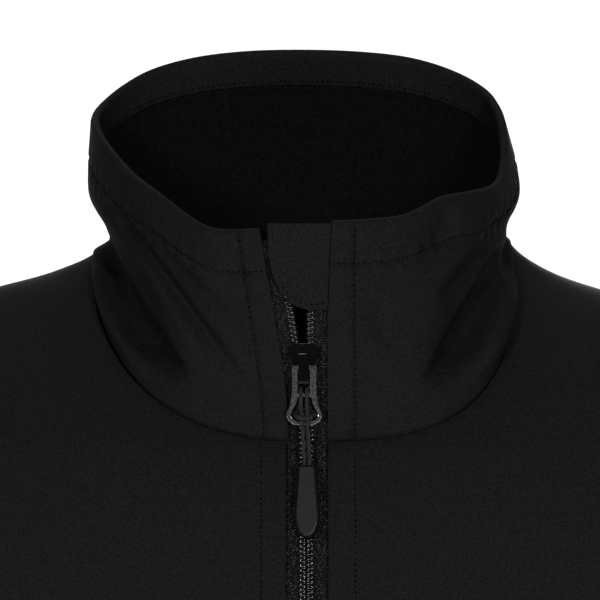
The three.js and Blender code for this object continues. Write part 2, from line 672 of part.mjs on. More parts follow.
function shareAtMiddleBack() {
  let low = 0.3;
  let high = 0.7;
  for (let step = 0; step < 30; step += 1) {
    const middle = (low + high) / 2;
    if (rimCurve.getPointAt(middle).x < 0) low = middle;
    else high = middle;
  }
  return low;
}

const RIM_MIDDLE = shareAtMiddleBack();

function rimAt(turn) {
  const share = turn < 0.5 ? 2 * turn * RIM_MIDDLE : lerp(RIM_MIDDLE, 1, 2 * turn - 1);
  return rimCurve.getPointAt(Math.min(share, 1));
}

// Corners of the neck seam from the right front edge round the back to the left one
function neckCorners() {
  const rightFront = neckEdge(RIGHT, FRONT);
  const rightBack = neckEdge(RIGHT, BACK).reverse();
  const leftBack = neckEdge(LEFT, BACK);
  const leftFront = neckEdge(LEFT, FRONT).reverse();
  const spots = [rightFront, rightBack.slice(1), leftBack.slice(1), leftFront.slice(1)].flat();
  return spots.map(({ point, over }) => {
    const foot = point.clone().addScaledVector(over, SEAM_GAP / 2);
    foot.z += SEAM_GAP / 2;
    return foot;
  });
}

const NECK = neckCorners();
const NECK_LENGTHS = NECK.reduce((sums, point, i) => (
  [...sums, i === 0 ? 0 : sums[i - 1] + point.distanceTo(NECK[i - 1])]
), []);
const NECK_MIDDLE = NECK_ROWS_FRONT + NECK_ROWS_BACK;
const NECK_LENGTH = NECK_LENGTHS[NECK.length - 1];

function neckTurn(i) {
  const half = NECK_LENGTHS[NECK_MIDDLE];
  if (i <= NECK_MIDDLE) return (0.5 * NECK_LENGTHS[i]) / half;
  return 0.5 + (0.5 * (NECK_LENGTHS[i] - half)) / (NECK_LENGTH - half);
}

const NECK_TURNS = NECK.map((point, i) => neckTurn(i));

function footAt(turn) {
  let i = 0;
  while (i < NECK.length - 2 && NECK_TURNS[i + 1] < turn) i += 1;
  const share = (turn - NECK_TURNS[i]) / (NECK_TURNS[i + 1] - NECK_TURNS[i]);
  return NECK[i].clone().lerp(NECK[i + 1], Math.min(Math.max(share, 0), 1));
}

function collarPoint(turn, rise) {
  const point = footAt(turn).lerp(rimAt(turn), rise);
  const outwards = new THREE.Vector3(
    point.x / NECK_OVAL.x ** 2,
    (point.y - NECK_OVAL.middleY) / NECK_OVAL.y ** 2,
    0,
  ).normalize();
  const swell = between(COLLAR_SWELL, 'turn', 'swell', turn) * Math.sin(Math.PI * rise ** 0.9);
  const side = turn < 0.5 ? RIGHT : LEFT;
  const { bow, peak, reach } = EDGE_BOW[side];
  const fromEdge = (turn < 0.5 ? turn : 1 - turn) * NECK_LENGTH;
  const ahead = 1 - smoothstep(point.y, FOLDS_END_Y.from, FOLDS_END_Y.to);
  const fold = foldDepth(COLLAR_FOLDS, point.x, point.z) * ahead;
  const held = smoothstep(rise, 0, FOLDS_RISE.seam) * (1 - smoothstep(rise, FOLDS_RISE.rim, 1));
  point.x += bow * Math.sin(Math.PI * rise ** peak) * Math.exp(-fromEdge / reach);
  return point.addScaledVector(outwards, swell - fold * held);
}

function collarSpot(turn, rise) {
  const aside = 0.012;
  const apart = 0.03;
  const ahead = collarPoint(Math.min(turn + aside, 1), rise);
  const along = ahead.sub(collarPoint(Math.max(turn - aside, 0), rise));
  const above = collarPoint(turn, Math.min(rise + apart, 1));
  const up = above.sub(collarPoint(turn, Math.max(rise - apart, 0)));
  return { point: collarPoint(turn, rise), normal: up.cross(along).normalize() };
}

function collarTurns() {
  const turns = [0];
  for (let i = 1; i < NECK.length; i += 1) {
    const isFront = i <= NECK_ROWS_FRONT || i > NECK.length - 1 - NECK_ROWS_FRONT;
    const steps = isFront ? COLLAR_STEPS_FRONT : COLLAR_STEPS_BACK;
    for (let step = 1; step <= steps; step += 1) {
      turns.push(lerp(NECK_TURNS[i - 1], NECK_TURNS[i], step / steps));
    }
  }
  return turns;
}

const COLLAR_TURNS = collarTurns();

function turnInRise(turn) {
  return 1 - TURN_IN_WIDTH / footAt(turn).distanceTo(rimAt(turn));
}

function collarRise(row, turn) {
  return row === COLLAR_ROWS ? 1 : (turnInRise(turn) * row) / (COLLAR_ROWS - 1);
}

const collarGrid = [];
for (let row = 0; row <= COLLAR_ROWS; row += 1) {
  collarGrid.push(COLLAR_TURNS.map((turn) => collarSpot(turn, collarRise(row, turn))));
}
add('collar', wallBetween(collarGrid, 0, WALL), cloth);

// The cloth turned in along the rim lies on the collar's inner face, clear of the zip tape
const turnedIn = collarGrid.slice(-2).map((spots) => spots.filter((spot, i) => {
  const fromEdge = Math.min(COLLAR_TURNS[i], 1 - COLLAR_TURNS[i]) * NECK_LENGTH;
  return fromEdge > TURN_IN_START;
}));
add('collar_turn_in', wallBetween(turnedIn, WALL + SEAM_GAP, WALL + SEAM_GAP + TURN_IN_WALL), fleece);

// Zip. across runs from the cloth's edge, negative under the cloth, towards the middle.

function chestSpot(side, across, z) {
  const x = side * (FRONT_EDGE[side] - across);
  return torsoSpot(z, turnAt(x, z, side, FRONT), side, FRONT);
}

function collarEdgeSpot(side, across, rise) {
  const edgeTurn = side === RIGHT ? 0 : 1;
  const under = (Math.max(-across, 0) / NECK_LENGTH) * (side === RIGHT ? 1 : -1);
  const spot = collarSpot(edgeTurn + under, rise);
  spot.normal.x = 0;
  spot.normal.normalize();
  if (across > 0) spot.point.x -= side * across;
  return spot;
}

function tapeGrid(side) {
  const low = [BODY_ROWS[0], PIN_TOP_Z, CHAIN_START_Z];
  const stations = [...low, ...BODY_ROWS.slice(1), ...FRONT_EDGE_ROWS.slice(0, -1)];
  const reach = FRONT_EDGE[side] - SEAM_GAP / 2;
  const chest = stations.map((z) => [...TAPE_ACROSS, reach].map((across) => chestSpot(side, across, z)));
  const collar = [];
  for (let row = 0; row <= COLLAR_ROWS; row += 1) {
    const rise = collarRise(row, side === RIGHT ? 0 : 1);
    collar.push([...TAPE_ACROSS, reach].map((across) => collarEdgeSpot(side, across, rise)));
    const inner = collar[row][TAPE_ACROSS.length].point;
    inner.x = side * Math.max(side * inner.x, SEAM_GAP / 2);
  }
  return { grid: [...chest, ...collar], stations };
}

for (const [side, name] of [[RIGHT, 'zip_tape_right'], [LEFT, 'zip_tape_left']]) {
  const { grid, stations } = tapeGrid(side);
  const chainRow = stations.indexOf(CHAIN_START_Z);
  const front = (row, column) => (row >= chainRow && column > 2 ? CHAIN_FRONT : TAPE_FRONT);
  add(name, wallBetween(grid, front, TAPE_BACK), tape);
}

// Zip garage: spread over the gap between the cloth edges, from the left one

function gapSpot(rise, x) {
  const right = collarEdgeSpot(RIGHT, 0, rise);
  const left = collarEdgeSpot(LEFT, 0, rise);
  const share = (left.point.x - x) / (left.point.x - right.point.x);
  const point = left.point.clone().lerp(right.point, share);
  return { point, normal: left.normal.clone().lerp(right.normal, share).normalize() };
}

function riseAtEdge(z) {
  const foot = footAt(1).z;
  return Math.min((z - foot) / (rimAt(1).z - foot), 1);
}

const garageGrid = GARAGE.map(({ z, edge }) => {
  const rise = riseAtEdge(z);
  const seam = collarPoint(1, rise).x - SEAM_GAP;
  const spots = [];
  for (let column = 0; column <= GARAGE_COLUMNS; column += 1) {
    spots.push(gapSpot(rise, lerp(edge, seam, column / GARAGE_COLUMNS)));
  }
  return spots;
});
add('zip_garage', wallBetween(garageGrid, -GARAGE_OUT, GARAGE_IN), cloth);

// Open end at the hem: the box and the two pins above it, in front of the tapes

const hemY = -between(TORSO, 'z', 'front', HEM_Z);
function hemPiece(name, width, thick, low, high, x, back) {
  const geometry = new THREE.BoxGeometry(width, thick, high - low);
  add(name, geometry, plastic).position.set(x, back - thick / 2, (low + high) / 2);
}
hemPiece('zip_box', 9, 2.6, -689.5, -678, 0, hemY + 1.6);
hemPiece('zip_pin_right', 2.2, 0.9, -677.6, PIN_TOP_Z - 0.3, -1.3, hemY + 1.1);
hemPiece('zip_pin_left', 2.2, 0.9, -677.6, PIN_TOP_Z - 0.3, 1.3, hemY + 1.1);

// Slider and puller, made in the zip's plane at the slider

function zipFrame() {
  const low = gapSpot(riseAtEdge(SLIDER.z - 5), SLIDER.x).point;
  const high = gapSpot(riseAtEdge(SLIDER.z + 7), SLIDER.x).point;
  const middle = gapSpot(riseAtEdge(SLIDER.z), SLIDER.x).point;
  const frame = new THREE.Group();
  frame.position.set(SLIDER.x, middle.y, SLIDER.z);
  frame.rotation.x = -Math.atan2(high.y - low.y, high.z - low.z);
  return frame;
}

const zipPlane = zipFrame();
jacket.add(zipPlane);

// A flat plate drawn in the zip's plane, from one depth to another
function plate(shape, front, back, bevel) {
  const geometry = new THREE.ExtrudeGeometry(shape, {
    depth: back - front - 2 * bevel,
    bevelEnabled: bevel > 0,
    bevelThickness: bevel,
    bevelSize: bevel,
    bevelOffset: -bevel,
    bevelSegments: 2,
  });
  geometry.rotateX(Math.PI / 2);
  return geometry.translate(0, back - bevel, 0);
}

function toSolid(geometry) {
  const bare = geometry.clone();
  bare.deleteAttribute('normal');
  bare.deleteAttribute('uv');
  const merged = mergeVertices(bare, 1e-4);
  return new wasm.Manifold(new wasm.Mesh({
    numProp: 3,
    vertProperties: new Float32Array(merged.attributes.position.array),
    triVerts: new Uint32Array(merged.index.array),
  }));
}

function toGeometry(solid) {
  const mesh = solid.getMesh();
  const geometry = new THREE.BufferGeometry();
  geometry.setAttribute('position', new THREE.BufferAttribute(mesh.vertProperties, 3));
  geometry.setIndex(new THREE.BufferAttribute(mesh.triVerts, 1));
  return geometry;
}

// A shape through a half outline of named points, mirrored about a middle line
function mirrored(half, middle) {
  const right = half.map(({ out, z }) => new THREE.Vector2(middle + out, z));
  const left = half.slice().reverse().map(({ out, z }) => new THREE.Vector2(middle - out, z));
  return [...right, ...left];
}

const SLIDER_OUTLINE = [
  { out: 3.9, z: -6 },
  { out: 4.3, z: -3 },
  { out: 4.5, z: 1 },
  { out: 5.5, z: 3.4 },
  { out: 5.8, z: 5.2 },
  { out: 5.3, z: 7 },
  { out: 3.6, z: 8.2 },
  { out: 1.5, z: SLIDER.top },
];
const sliderShape = new THREE.Shape(mirrored(SLIDER_OUTLINE, 0));
const backPlate = { front: TAPE_BACK + SEAM_GAP, back: TAPE_BACK + SEAM_GAP + SLIDER.thick };

function bridgeGeometry() {
  const { top, bottom, out, bar, half, x } = BRIDGE;
  const face = -out;
  const root = 0.3;
  const round = 1.2;
  const shape = new THREE.Shape();
  shape.moveTo(bottom, root);
  shape.lineTo(bottom, face - round);
  shape.quadraticCurveTo(bottom, face, bottom + round, face);
  shape.lineTo(top - round, face);
  shape.quadraticCurveTo(top, face, top, face - round);
  shape.lineTo(top, root);
  shape.lineTo(top - bar, root);
  shape.lineTo(top - bar, face - bar);
  shape.lineTo(bottom + bar, face - bar);
  shape.lineTo(bottom + bar, root);
  shape.closePath();
  const geometry = new THREE.ExtrudeGeometry(shape, {
    depth: 2 * half,
    bevelEnabled: false,
    curveSegments: 4,
  });
  const turned = new THREE.Matrix4().makeBasis(
    new THREE.Vector3(0, 0, 1),
    new THREE.Vector3(0, -1, 0),
    new THREE.Vector3(1, 0, 0),
  );
  return geometry.applyMatrix4(turned).translate(x - half, 0, 0);
}

function sliderGeometry() {
  const frontPlate = toSolid(plate(sliderShape, SLIDER.face, SLIDER.seat, 0.4));
  const rearPlate = toSolid(plate(sliderShape, backPlate.front, backPlate.back, 0.3));
  const post = toSolid(new THREE.BoxGeometry(1.1, 4, 2).translate(-0.1, 1.6, 6.6));
  return toGeometry(frontPlate.add(toSolid(bridgeGeometry())).add(post).add(rearPlate));
}

add('slider', sliderGeometry(), blackMetal, zipPlane);

const PULLER_OUTLINE = [
  { out: 4.2, z: 0.9 },
  { out: 4.5, z: 0.4 },
  { out: 4.3, z: -5 },
  { out: 4.5, z: -10 },
  { out: 5.2, z: -13.6 },
  { out: 6.2, z: -16 },
  { out: 6.3, z: -17.2 },
  { out: 5.6, z: -18.8 },
  { out: 4, z: -20 },
  { out: 1.5, z: -20.4 },
];
const PULLER_WINDOW = [
  { out: 2.3, z: CROSSBAR_Z - BAR_HEIGHT / 2 },
  { out: 2.9, z: -12.4 },
  { out: 4, z: -14.6 },
  { out: 4.9, z: -16.6 },
  { out: 4.4, z: -18 },
  { out: 2.6, z: -19 },
];
const PULLER_SLOT = [
  { out: 2.2, z: -BAR_HEIGHT / 2 },
  { out: 2.2, z: CROSSBAR_Z + BAR_HEIGHT / 2 },
];
function pullerGeometry() {
  const front = HINGE_Y - PULLER_THICK / 2;
  const back = HINGE_Y + PULLER_THICK / 2;
  const body = toSolid(plate(new THREE.Shape(mirrored(PULLER_OUTLINE, 0.05)), front, back, 0.2));
  const window = toSolid(plate(new THREE.Shape(mirrored(PULLER_WINDOW, 0.1)), front - 1, back + 1, 0));
  const slot = toSolid(plate(new THREE.Shape(mirrored(PULLER_SLOT, -0.1)), front - 1, back + 1, 0));
  return toGeometry(body.subtract(window).subtract(slot));
}

add('puller', pullerGeometry(), chrome, zipPlane);

const cordCurve = new THREE.CatmullRomCurve3(CORD_ROUTE.map((place) => new THREE.Vector3(...place)));
const cordSection = new THREE.Shape(Array.from({ length: CORD_SIDES }, (unused, i) => {
  const angle = (2 * Math.PI * i) / CORD_SIDES;
  return new THREE.Vector2(Math.cos(angle), Math.sin(angle)).multiplyScalar(CORD_DIAMETER / 2);
}));
const cordGeometry = new THREE.ExtrudeGeometry(cordSection, { extrudePath: cordCurve, steps: CORD_STEPS });
add('pull_cord', cordGeometry, cord, zipPlane);

// Rubber grip: narrow at the cord, wider and round at its free end
const TAB_OUTLINE = [
  { out: 3.1, z: 0 },
  { out: 3.8, z: -10 },
  { out: 4.4, z: -18 },
  { out: 4.1, z: -21.5 },
  { out: 3, z: -24.4 },
  { out: 1.2, z: -TAB.length },
];
const tabGrip = add(
  'pull_tab',
  plate(new THREE.Shape(mirrored(TAB_OUTLINE, 0)), -TAB.thick / 2, TAB.thick / 2, 0.9),
  rubber,
  zipPlane,
);
tabGrip.position.set(TAB.x, TAB.y, TAB.z);
tabGrip.rotation.set(degToRad(TAB.tilt), 0, degToRad(TAB.twist));

export default jacket;
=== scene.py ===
# %% [markdown]
# # A softshell jacket
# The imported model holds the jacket's plain solids: two fronts, a back, two sleeves, a stand
# collar and a zip. This lesson dresses them. The cloth is drafted again on a finer grid, with
# the same form functions as the solids, so that every seam stays where the solids have it.
# Then come the zip's coil, the sewing, the cord and the finishes.

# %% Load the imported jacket
import json
import math
from collections import namedtuple
from functools import lru_cache

import bmesh
import bpy
import numpy as np
from mathutils import Euler, Matrix, Vector, noise


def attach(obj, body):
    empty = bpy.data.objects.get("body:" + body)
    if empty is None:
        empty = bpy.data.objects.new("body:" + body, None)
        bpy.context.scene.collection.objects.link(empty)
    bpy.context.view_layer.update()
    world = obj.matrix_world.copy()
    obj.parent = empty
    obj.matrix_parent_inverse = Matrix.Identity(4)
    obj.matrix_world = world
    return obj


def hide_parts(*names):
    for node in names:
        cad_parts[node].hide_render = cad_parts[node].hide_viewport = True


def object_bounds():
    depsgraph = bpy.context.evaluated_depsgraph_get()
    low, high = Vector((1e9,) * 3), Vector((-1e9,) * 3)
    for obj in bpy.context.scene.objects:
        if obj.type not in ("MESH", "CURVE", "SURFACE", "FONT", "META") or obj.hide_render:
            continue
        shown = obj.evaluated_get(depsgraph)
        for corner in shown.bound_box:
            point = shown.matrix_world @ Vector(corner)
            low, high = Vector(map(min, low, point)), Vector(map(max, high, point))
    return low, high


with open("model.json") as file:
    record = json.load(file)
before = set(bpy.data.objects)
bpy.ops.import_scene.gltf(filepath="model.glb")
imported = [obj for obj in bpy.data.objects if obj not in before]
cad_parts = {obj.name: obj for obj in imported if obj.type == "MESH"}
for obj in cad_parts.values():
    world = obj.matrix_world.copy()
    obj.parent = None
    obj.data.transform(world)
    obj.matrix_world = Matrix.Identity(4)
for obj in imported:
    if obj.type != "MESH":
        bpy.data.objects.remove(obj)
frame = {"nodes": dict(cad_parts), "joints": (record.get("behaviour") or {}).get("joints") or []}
CAD_BOX = [list(corner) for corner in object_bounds()]
JOINTS = {joint["name"]: joint for joint in frame["joints"]}
print("CAD box", CAD_BOX)

# %% [markdown]
# ## Camera
# The photograph is a close-up of the collar from straight in front, a little above. A long lens
# from one and a half metres away keeps the far rim of the collar almost as large as the near
# one. The lens follows from how many pixels one metre takes at one metre's distance.

# %% Place the camera
MM = 0.001
CAMERA_TARGET = Vector((-2.24, 0, -22.4)) * MM
CAMERA_DISTANCE = 1.5
CAMERA_ELEVATION = math.radians(4)
FOCAL_PIXELS = 4021.4
FRAME_PIXELS = 600
SENSOR_MM = 36

camera_data = bpy.data.cameras.new("camera")
camera_data.sensor_width = SENSOR_MM
camera_data.lens = SENSOR_MM * FOCAL_PIXELS / FRAME_PIXELS
camera = bpy.data.objects.new("camera", camera_data)
towards_camera = Vector((0, -math.cos(CAMERA_ELEVATION), math.sin(CAMERA_ELEVATION)))
camera.location = CAMERA_TARGET + CAMERA_DISTANCE * towards_camera
camera.rotation_euler = Euler((math.pi / 2 - CAMERA_ELEVATION, 0, 0))
bpy.context.scene.collection.objects.link(camera)
bpy.context.scene.camera = camera
print("lens", round(camera_data.lens, 1), "mm")

# %% [markdown]
# ## Node helpers
# Every finish below is a small node tree. These helpers add a node, join two sockets and make a
# Principled shader, so that each finish reads as a short recipe. Constants go straight onto the
# shader's own sockets, because a linked constant would be lost when the model is exported.

# %% Helpers for materials
WAVE_PERIOD = math.pi / 10


class Finish:
    """One material under construction, with its Principled shader at hand"""

    def __init__(self, name, roughness, metallic=0.0, specular=0.5):
        self.material = bpy.data.materials.new(name)
        self.material.use_nodes = True
        self.nodes = self.material.node_tree.nodes
        self.shader = self.nodes["Principled BSDF"]
        self.shader.inputs["Roughness"].default_value = roughness
        self.shader.inputs["Metallic"].default_value = metallic
        self.shader.inputs["Specular IOR Level"].default_value = specular

    def node(self, kind, **values):
        made = self.nodes.new(kind)
        for key, value in values.items():
            if hasattr(made, key):
                setattr(made, key, value)
            else:
                made.inputs[key.replace("_", " ").title()].default_value = value
        return made

    def link(self, start, end):
        self.material.node_tree.links.new(start, end)

    def noise(self, scale, detail=2.0):
        place = self.node("ShaderNodeTexCoord")
        texture = self.node("ShaderNodeTexNoise", scale=scale, detail=detail)
        self.link(place.outputs["Object"], texture.inputs["Vector"])
        return texture.outputs["Fac"]

    def bands(self, pitch, turn, where="UV"):
        """Even ridges, pitch metres apart, turned in the cloth's plane"""
        place = self.node("ShaderNodeTexCoord")
        mapping = self.node("ShaderNodeMapping")
        mapping.inputs["Rotation"].default_value = (0, 0, turn)
        texture = self.node("ShaderNodeTexWave", scale=WAVE_PERIOD / pitch)
        self.link(place.outputs[where], mapping.inputs["Vector"])
        self.link(mapping.outputs["Vector"], texture.inputs["Vector"])
        return texture.outputs["Fac"]

    def blend(self, first, second, how="MULTIPLY"):
        made = self.node("ShaderNodeMath", operation=how)
        for socket, value in zip(made.inputs, (first, second)):
            if isinstance(value, (int, float)):
                socket.default_value = value
            else:
                self.link(value, socket)
        return made.outputs["Value"]

    def colours(self, fac, low, high, start=0.0, end=1.0):
        ramp = self.node("ShaderNodeValToRGB")
        ramp.color_ramp.elements[0].position = start
        ramp.color_ramp.elements[1].position = end
        ramp.color_ramp.elements[0].color = (*low, 1)
        ramp.color_ramp.elements[1].color = (*high, 1)
        self.link(fac, ramp.inputs["Fac"])
        self.link(ramp.outputs["Color"], self.shader.inputs["Base Color"])

    def bump(self, height, distance, strength=1.0):
        made = self.node("ShaderNodeBump", distance=distance, strength=strength)
        self.link(height, made.inputs["Height"])
        self.link(made.outputs["Normal"], self.shader.inputs["Normal"])


def grey(value, tint=(1.0, 1.0, 1.0)):
    return tuple(value * share for share in tint)


print("a wave of scale 1 repeats every", round(WAVE_PERIOD, 3), "m")

# %% [markdown]
# ## A grained finish
# Most of the pieces need the same recipe: a gloss, a grain of colour and a fine relief. Real
# surfaces are never one flat colour, and even a little grain keeps a dark piece from looking like
# a hole. The recipe is written once, with a name for each of its numbers.

# %% Recipe for a grained finish
Tone = namedtuple("Tone", "scale low high start end detail", defaults=(0.3, 0.7, 2))
Relief = namedtuple("Relief", "scale height strength detail", defaults=(2,))


def grained(name, tone, relief, **gloss):
    """A finish with a noise in its colour and one in its relief, whose height is in millimetres"""
    made = Finish(name, **gloss)
    colour_noise = made.noise(tone.scale, tone.detail)
    made.colours(colour_noise, tone.low, tone.high, tone.start, tone.end)
    made.bump(made.noise(relief.scale, relief.detail), relief.height * MM, relief.strength)
    return made.material


print("recipe:", Tone._fields, Relief._fields)

# %% [markdown]
# ## The cloth's two sides
# A softshell is three layers bonded together. Its face is a fine stretch weave, matt black, with
# a faint grain from the yarn. Its inside is a short brushed fleece that swallows nearly all
# light. The weave is finer than the camera can part, so it is a noise of the yarn's size on
# Object coordinates, in colour and in bump. Even ridges would only make a moire pattern.

# %% Softshell face and fleece
YARN_SCALE = 2700
PILE_SCALE = 900

face = grained(
    "softshell face",
    Tone(YARN_SCALE, grey(0.0004), grey(0.0052), start=0.38, end=0.62, detail=1),
    Relief(YARN_SCALE, height=0.12, strength=0.7, detail=1),
    roughness=0.75,
    specular=0.06,
)
fleece = grained(
    "brushed fleece",
    Tone(PILE_SCALE, grey(0.0012, (1.04, 1, 1.1)), grey(0.0034, (1.04, 1, 1.08)), end=0.75, detail=4),
    Relief(PILE_SCALE, height=0.6, strength=0.8, detail=4),
    roughness=1.0,
    specular=0.02,
)
print("cloth finishes:", face.name, "and", fleece.name)

# %% [markdown]
# ## Zip tape
# The tape is woven as a herringbone: narrow columns of twill whose ridges lean one way and then
# the other. Two sets of even bands give the two leans, and a third, wide set picks one of them for
# each column. A noise breaks the yarns up, and the yarns that it picks on the ridges are painted
# bright, as painted highlights where yarns would catch the light. The bands read the tape's own UV map,
# which is in metres.

# %% Weave finish of the tape
TWILL_PITCH = 0.72 * MM
TWILL_LEAN = math.radians(50)
HERRINGBONE_WIDTH = 1.6 * MM
TAPE_YARN_SCALE = 1900

tape_finish = Finish("herringbone tape", roughness=0.7, specular=0.08)
leaning_right = tape_finish.bands(TWILL_PITCH, TWILL_LEAN)
leaning_left = tape_finish.bands(TWILL_PITCH, -TWILL_LEAN)
column = tape_finish.bands(2 * HERRINGBONE_WIDTH, 0)
pick = tape_finish.blend(column, 0.5, "GREATER_THAN")
other = tape_finish.blend(1, pick, "SUBTRACT")
right_share = tape_finish.blend(leaning_right, pick)
left_share = tape_finish.blend(leaning_left, other)
twill = tape_finish.blend(right_share, left_share, "ADD")
# Painted highlight: the bright yarn colour below stands in for glints on the twill's ridges, where the
# noise picks them.
painted_glint_mask = tape_finish.blend(twill, tape_finish.noise(TAPE_YARN_SCALE))
dark_yarn, painted_glint_colour = grey(0.0001, (1, 1, 0.9)), grey(0.15, (1, 1, 0.82))
tape_finish.colours(painted_glint_mask, dark_yarn, painted_glint_colour, start=0.48, end=0.88)
tape_finish.bump(twill, distance=0.2 * MM, strength=0.9)
print("herringbone columns", HERRINGBONE_WIDTH, "m wide")

# %% [markdown]
# ## Nylon, thread, plastic, metal and rubber
# The coil is glossy nylon, the thread is dull with a few brown specks painted in where light gets
# into it, the zip's lower end is moulded plastic, the slider is enamelled, the puller is plated and
# polished, and the grip is moulded rubber. All of them follow the recipe.

# %% Finishes of the small pieces
nylon = grained(
    "black nylon coil",
    Tone(400, grey(0.002), grey(0.004)),
    Relief(2500, height=0.03, strength=0.3),
    roughness=0.15,
    specular=0.5,
)
thread = grained(
    "black thread",
    # Painted light: the brown specks stand in for light getting into the thread.
    Tone(900, grey(0.0006), grey(0.016, (1.3, 1, 0.8)), start=0.55, end=0.85),
    Relief(5000, height=0.05, strength=0.6),
    roughness=0.9,
    specular=0.0,
)
plastic = grained(
    "moulded black plastic",
    Tone(300, grey(0.005), grey(0.008)),
    Relief(2600, height=0.02, strength=0.3),
    roughness=0.45,
    specular=0.2,
)
print("finishes so far:", len(bpy.data.materials))

# %% Finishes of metal and rubber
enamel = grained(
    "black enamel",
    Tone(240, grey(0.0004), grey(0.001)),
    Relief(900, height=0.01, strength=0.2),
    roughness=0.1,
    specular=0.2,
)
plating = grained(
    "bright plating",
    Tone(1500, grey(0.2), grey(0.5), start=0.4, end=0.62),
    Relief(900, height=0.04, strength=0.25),
    roughness=0.06,
    metallic=1.0,
)
rubber = grained(
    "moulded rubber",
    Tone(350, grey(0.001), grey(0.0019)),
    Relief(3200, height=0.025, strength=0.45),
    roughness=0.45,
    specular=0.17,
)
print("finishes so far:", len(bpy.data.materials))

# %% [markdown]
# ## Braid
# The cord is braided from many fine yarns that wind round it. Slanting bands on Object
# coordinates stand for the yarns and a noise for their fibres. Both go into the relief, and into
# the colour as a painted highlight: the raised middle of each yarn is coloured lighter, as if lit.

# %% Braid finish of the cord
BRAID_PITCH = 0.55 * MM
BRAID_LEAN = math.radians(35)
BRAID_YARN_SCALE = 2400

braid = Finish("braided cord", roughness=0.75, specular=0.1)
winding = braid.bands(BRAID_PITCH, BRAID_LEAN, "Object")
yarns = braid.blend(winding, braid.noise(BRAID_YARN_SCALE))
# Painted highlight: the lighter fibre colour goes on the yarns' raised parts, as if lit.
dark_fibre, painted_highlight_fibre = grey(0.002, (1.05, 1, 0.95)), grey(0.03, (1.05, 1, 0.93))
braid.colours(yarns, dark_fibre, painted_highlight_fibre, start=0.1, end=0.8)
braid.bump(yarns, distance=0.15 * MM, strength=0.9)
print("finishes:", len(bpy.data.materials))

# %% [markdown]
# ## Pull cord
# The cord is one loop of thin braid, made fast to the puller with a hitch: its two strands leave
# the rubber grip, pass through the puller's ring, go over its crossbar and come round both
# strands again. It is a curve of one open spline in the puller's plane, and the plane is found
# from the two joints of the frame: the hinge pin and the crossbar.

# %% The cord's route
CORD_DIAMETER = 1.65 * MM
CORD_STEPS = 5
CORD_ROUNDNESS = 3
HINGE_IN_PLANE = Vector((-0.1, -2.65, 0)) * MM
CORD_ROUTE = [
    (0.0021, -0.0062, -0.0343), (0.0018, -0.00545, -0.0285), (0.0014, -0.00485, -0.0225),
    (0.00125, -0.0046, -0.0185), (0.0011, -0.00452, -0.014), (0.00105, -0.0045, -0.0106),
    (0.00105, -0.00432, -0.0089), (0.00105, -0.0036, -0.00792), (0.00105, -0.00265, -0.00765),
    (0.00105, -0.0017, -0.00792), (0.00108, -0.00098, -0.0089), (0.00115, -0.0008, -0.0106),
    (0.00135, -0.00085, -0.0126), (0.0019, -0.00125, -0.0145), (0.0029, -0.0023, -0.0158),
    (0.0034, -0.0038, -0.0165), (0.00295, -0.0055, -0.0171), (0.0017, -0.00645, -0.0176),
    (0.00025, -0.00665, -0.0178), (-0.0012, -0.00645, -0.0176), (-0.0025, -0.0055, -0.0171),
    (-0.003, -0.0038, -0.0165), (-0.0026, -0.0023, -0.0158), (-0.0018, -0.00125, -0.0145),
    (-0.00135, -0.00085, -0.0126), (-0.0012, -0.0008, -0.0106), (-0.00113, -0.00098, -0.0089),
    (-0.0011, -0.0017, -0.00792), (-0.0011, -0.00265, -0.00765), (-0.0011, -0.0036, -0.00792),
    (-0.0011, -0.00432, -0.0089), (-0.0011, -0.0045, -0.0106), (-0.00105, -0.00452, -0.014),
    (-0.00075, -0.0046, -0.0185), (-0.00045, -0.00485, -0.0225), (-0.0001, -0.00545, -0.0285),
    (0.0002, -0.0062, -0.0343),
]

hinge_pin = Vector(JOINTS["puller_hinge"]["pos_m"])
crossbar = Vector(JOINTS["grip_hinge"]["pos_m"])
down_the_zip = crossbar - hinge_pin
ZIP_LEAN = math.atan2(down_the_zip.y, -down_the_zip.z)
ZIP_PLANE = (
    Matrix.Translation(hinge_pin)
    @ Matrix.Rotation(ZIP_LEAN, 4, "X")
    @ Matrix.Translation(-HINGE_IN_PLANE)
)
print("the zip leans", round(math.degrees(ZIP_LEAN), 2), "degrees")


# %% Lay the cord
def smooth_line(places, steps):
    """Points along a Catmull-Rom curve through the places"""
    line = []
    for i in range(len(places) - 1):
        p0, p1 = places[max(i - 1, 0)], places[i]
        p2, p3 = places[i + 1], places[min(i + 2, len(places) - 1)]
        for step in range(steps):
            t = step / steps
            pull = (p2 - p0) * t + (2 * p0 - 5 * p1 + 4 * p2 - p3) * t**2
            pull += (3 * p1 - p0 - 3 * p2 + p3) * t**3
            line.append(p1 + 0.5 * pull)
    return line + [places[-1]]


cord_line = smooth_line([ZIP_PLANE @ Vector(place) for place in CORD_ROUTE], CORD_STEPS)
cord_curve = bpy.data.curves.new("pull_cord_braid", "CURVE")
cord_curve.dimensions = "3D"
cord_curve.bevel_depth = CORD_DIAMETER / 2
cord_curve.bevel_resolution = CORD_ROUNDNESS
cord_curve.use_fill_caps = True
spline = cord_curve.splines.new("POLY")
spline.points.add(len(cord_line) - 1)
for point, place in zip(spline.points, cord_line):
    point.co = (*place, 1)
cord_curve.materials.append(braid.material)
cord = bpy.data.objects.new("pull_cord_braid", cord_curve)
bpy.context.scene.collection.objects.link(cord)
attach(cord, "pull_grip")
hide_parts("pull_cord")
measured = sum((b - a).length for a, b in zip(cord_line, cord_line[1:]))
print("cord length", round(measured, 4), "m")

# %% [markdown]
# ## Tables that a pattern cutter would keep
# The body is a stack of rounded outlines, one for each level. A table gives the half width on
# each side, the depth to the front and to the back, and how square each half is. Millimetres are
# used up to the moment when a point goes into a mesh, as on a paper pattern.

# %% Torso table
RIGHT, LEFT = -1, 1
FRONT, BACK = -1, 1
WALL = 1.6

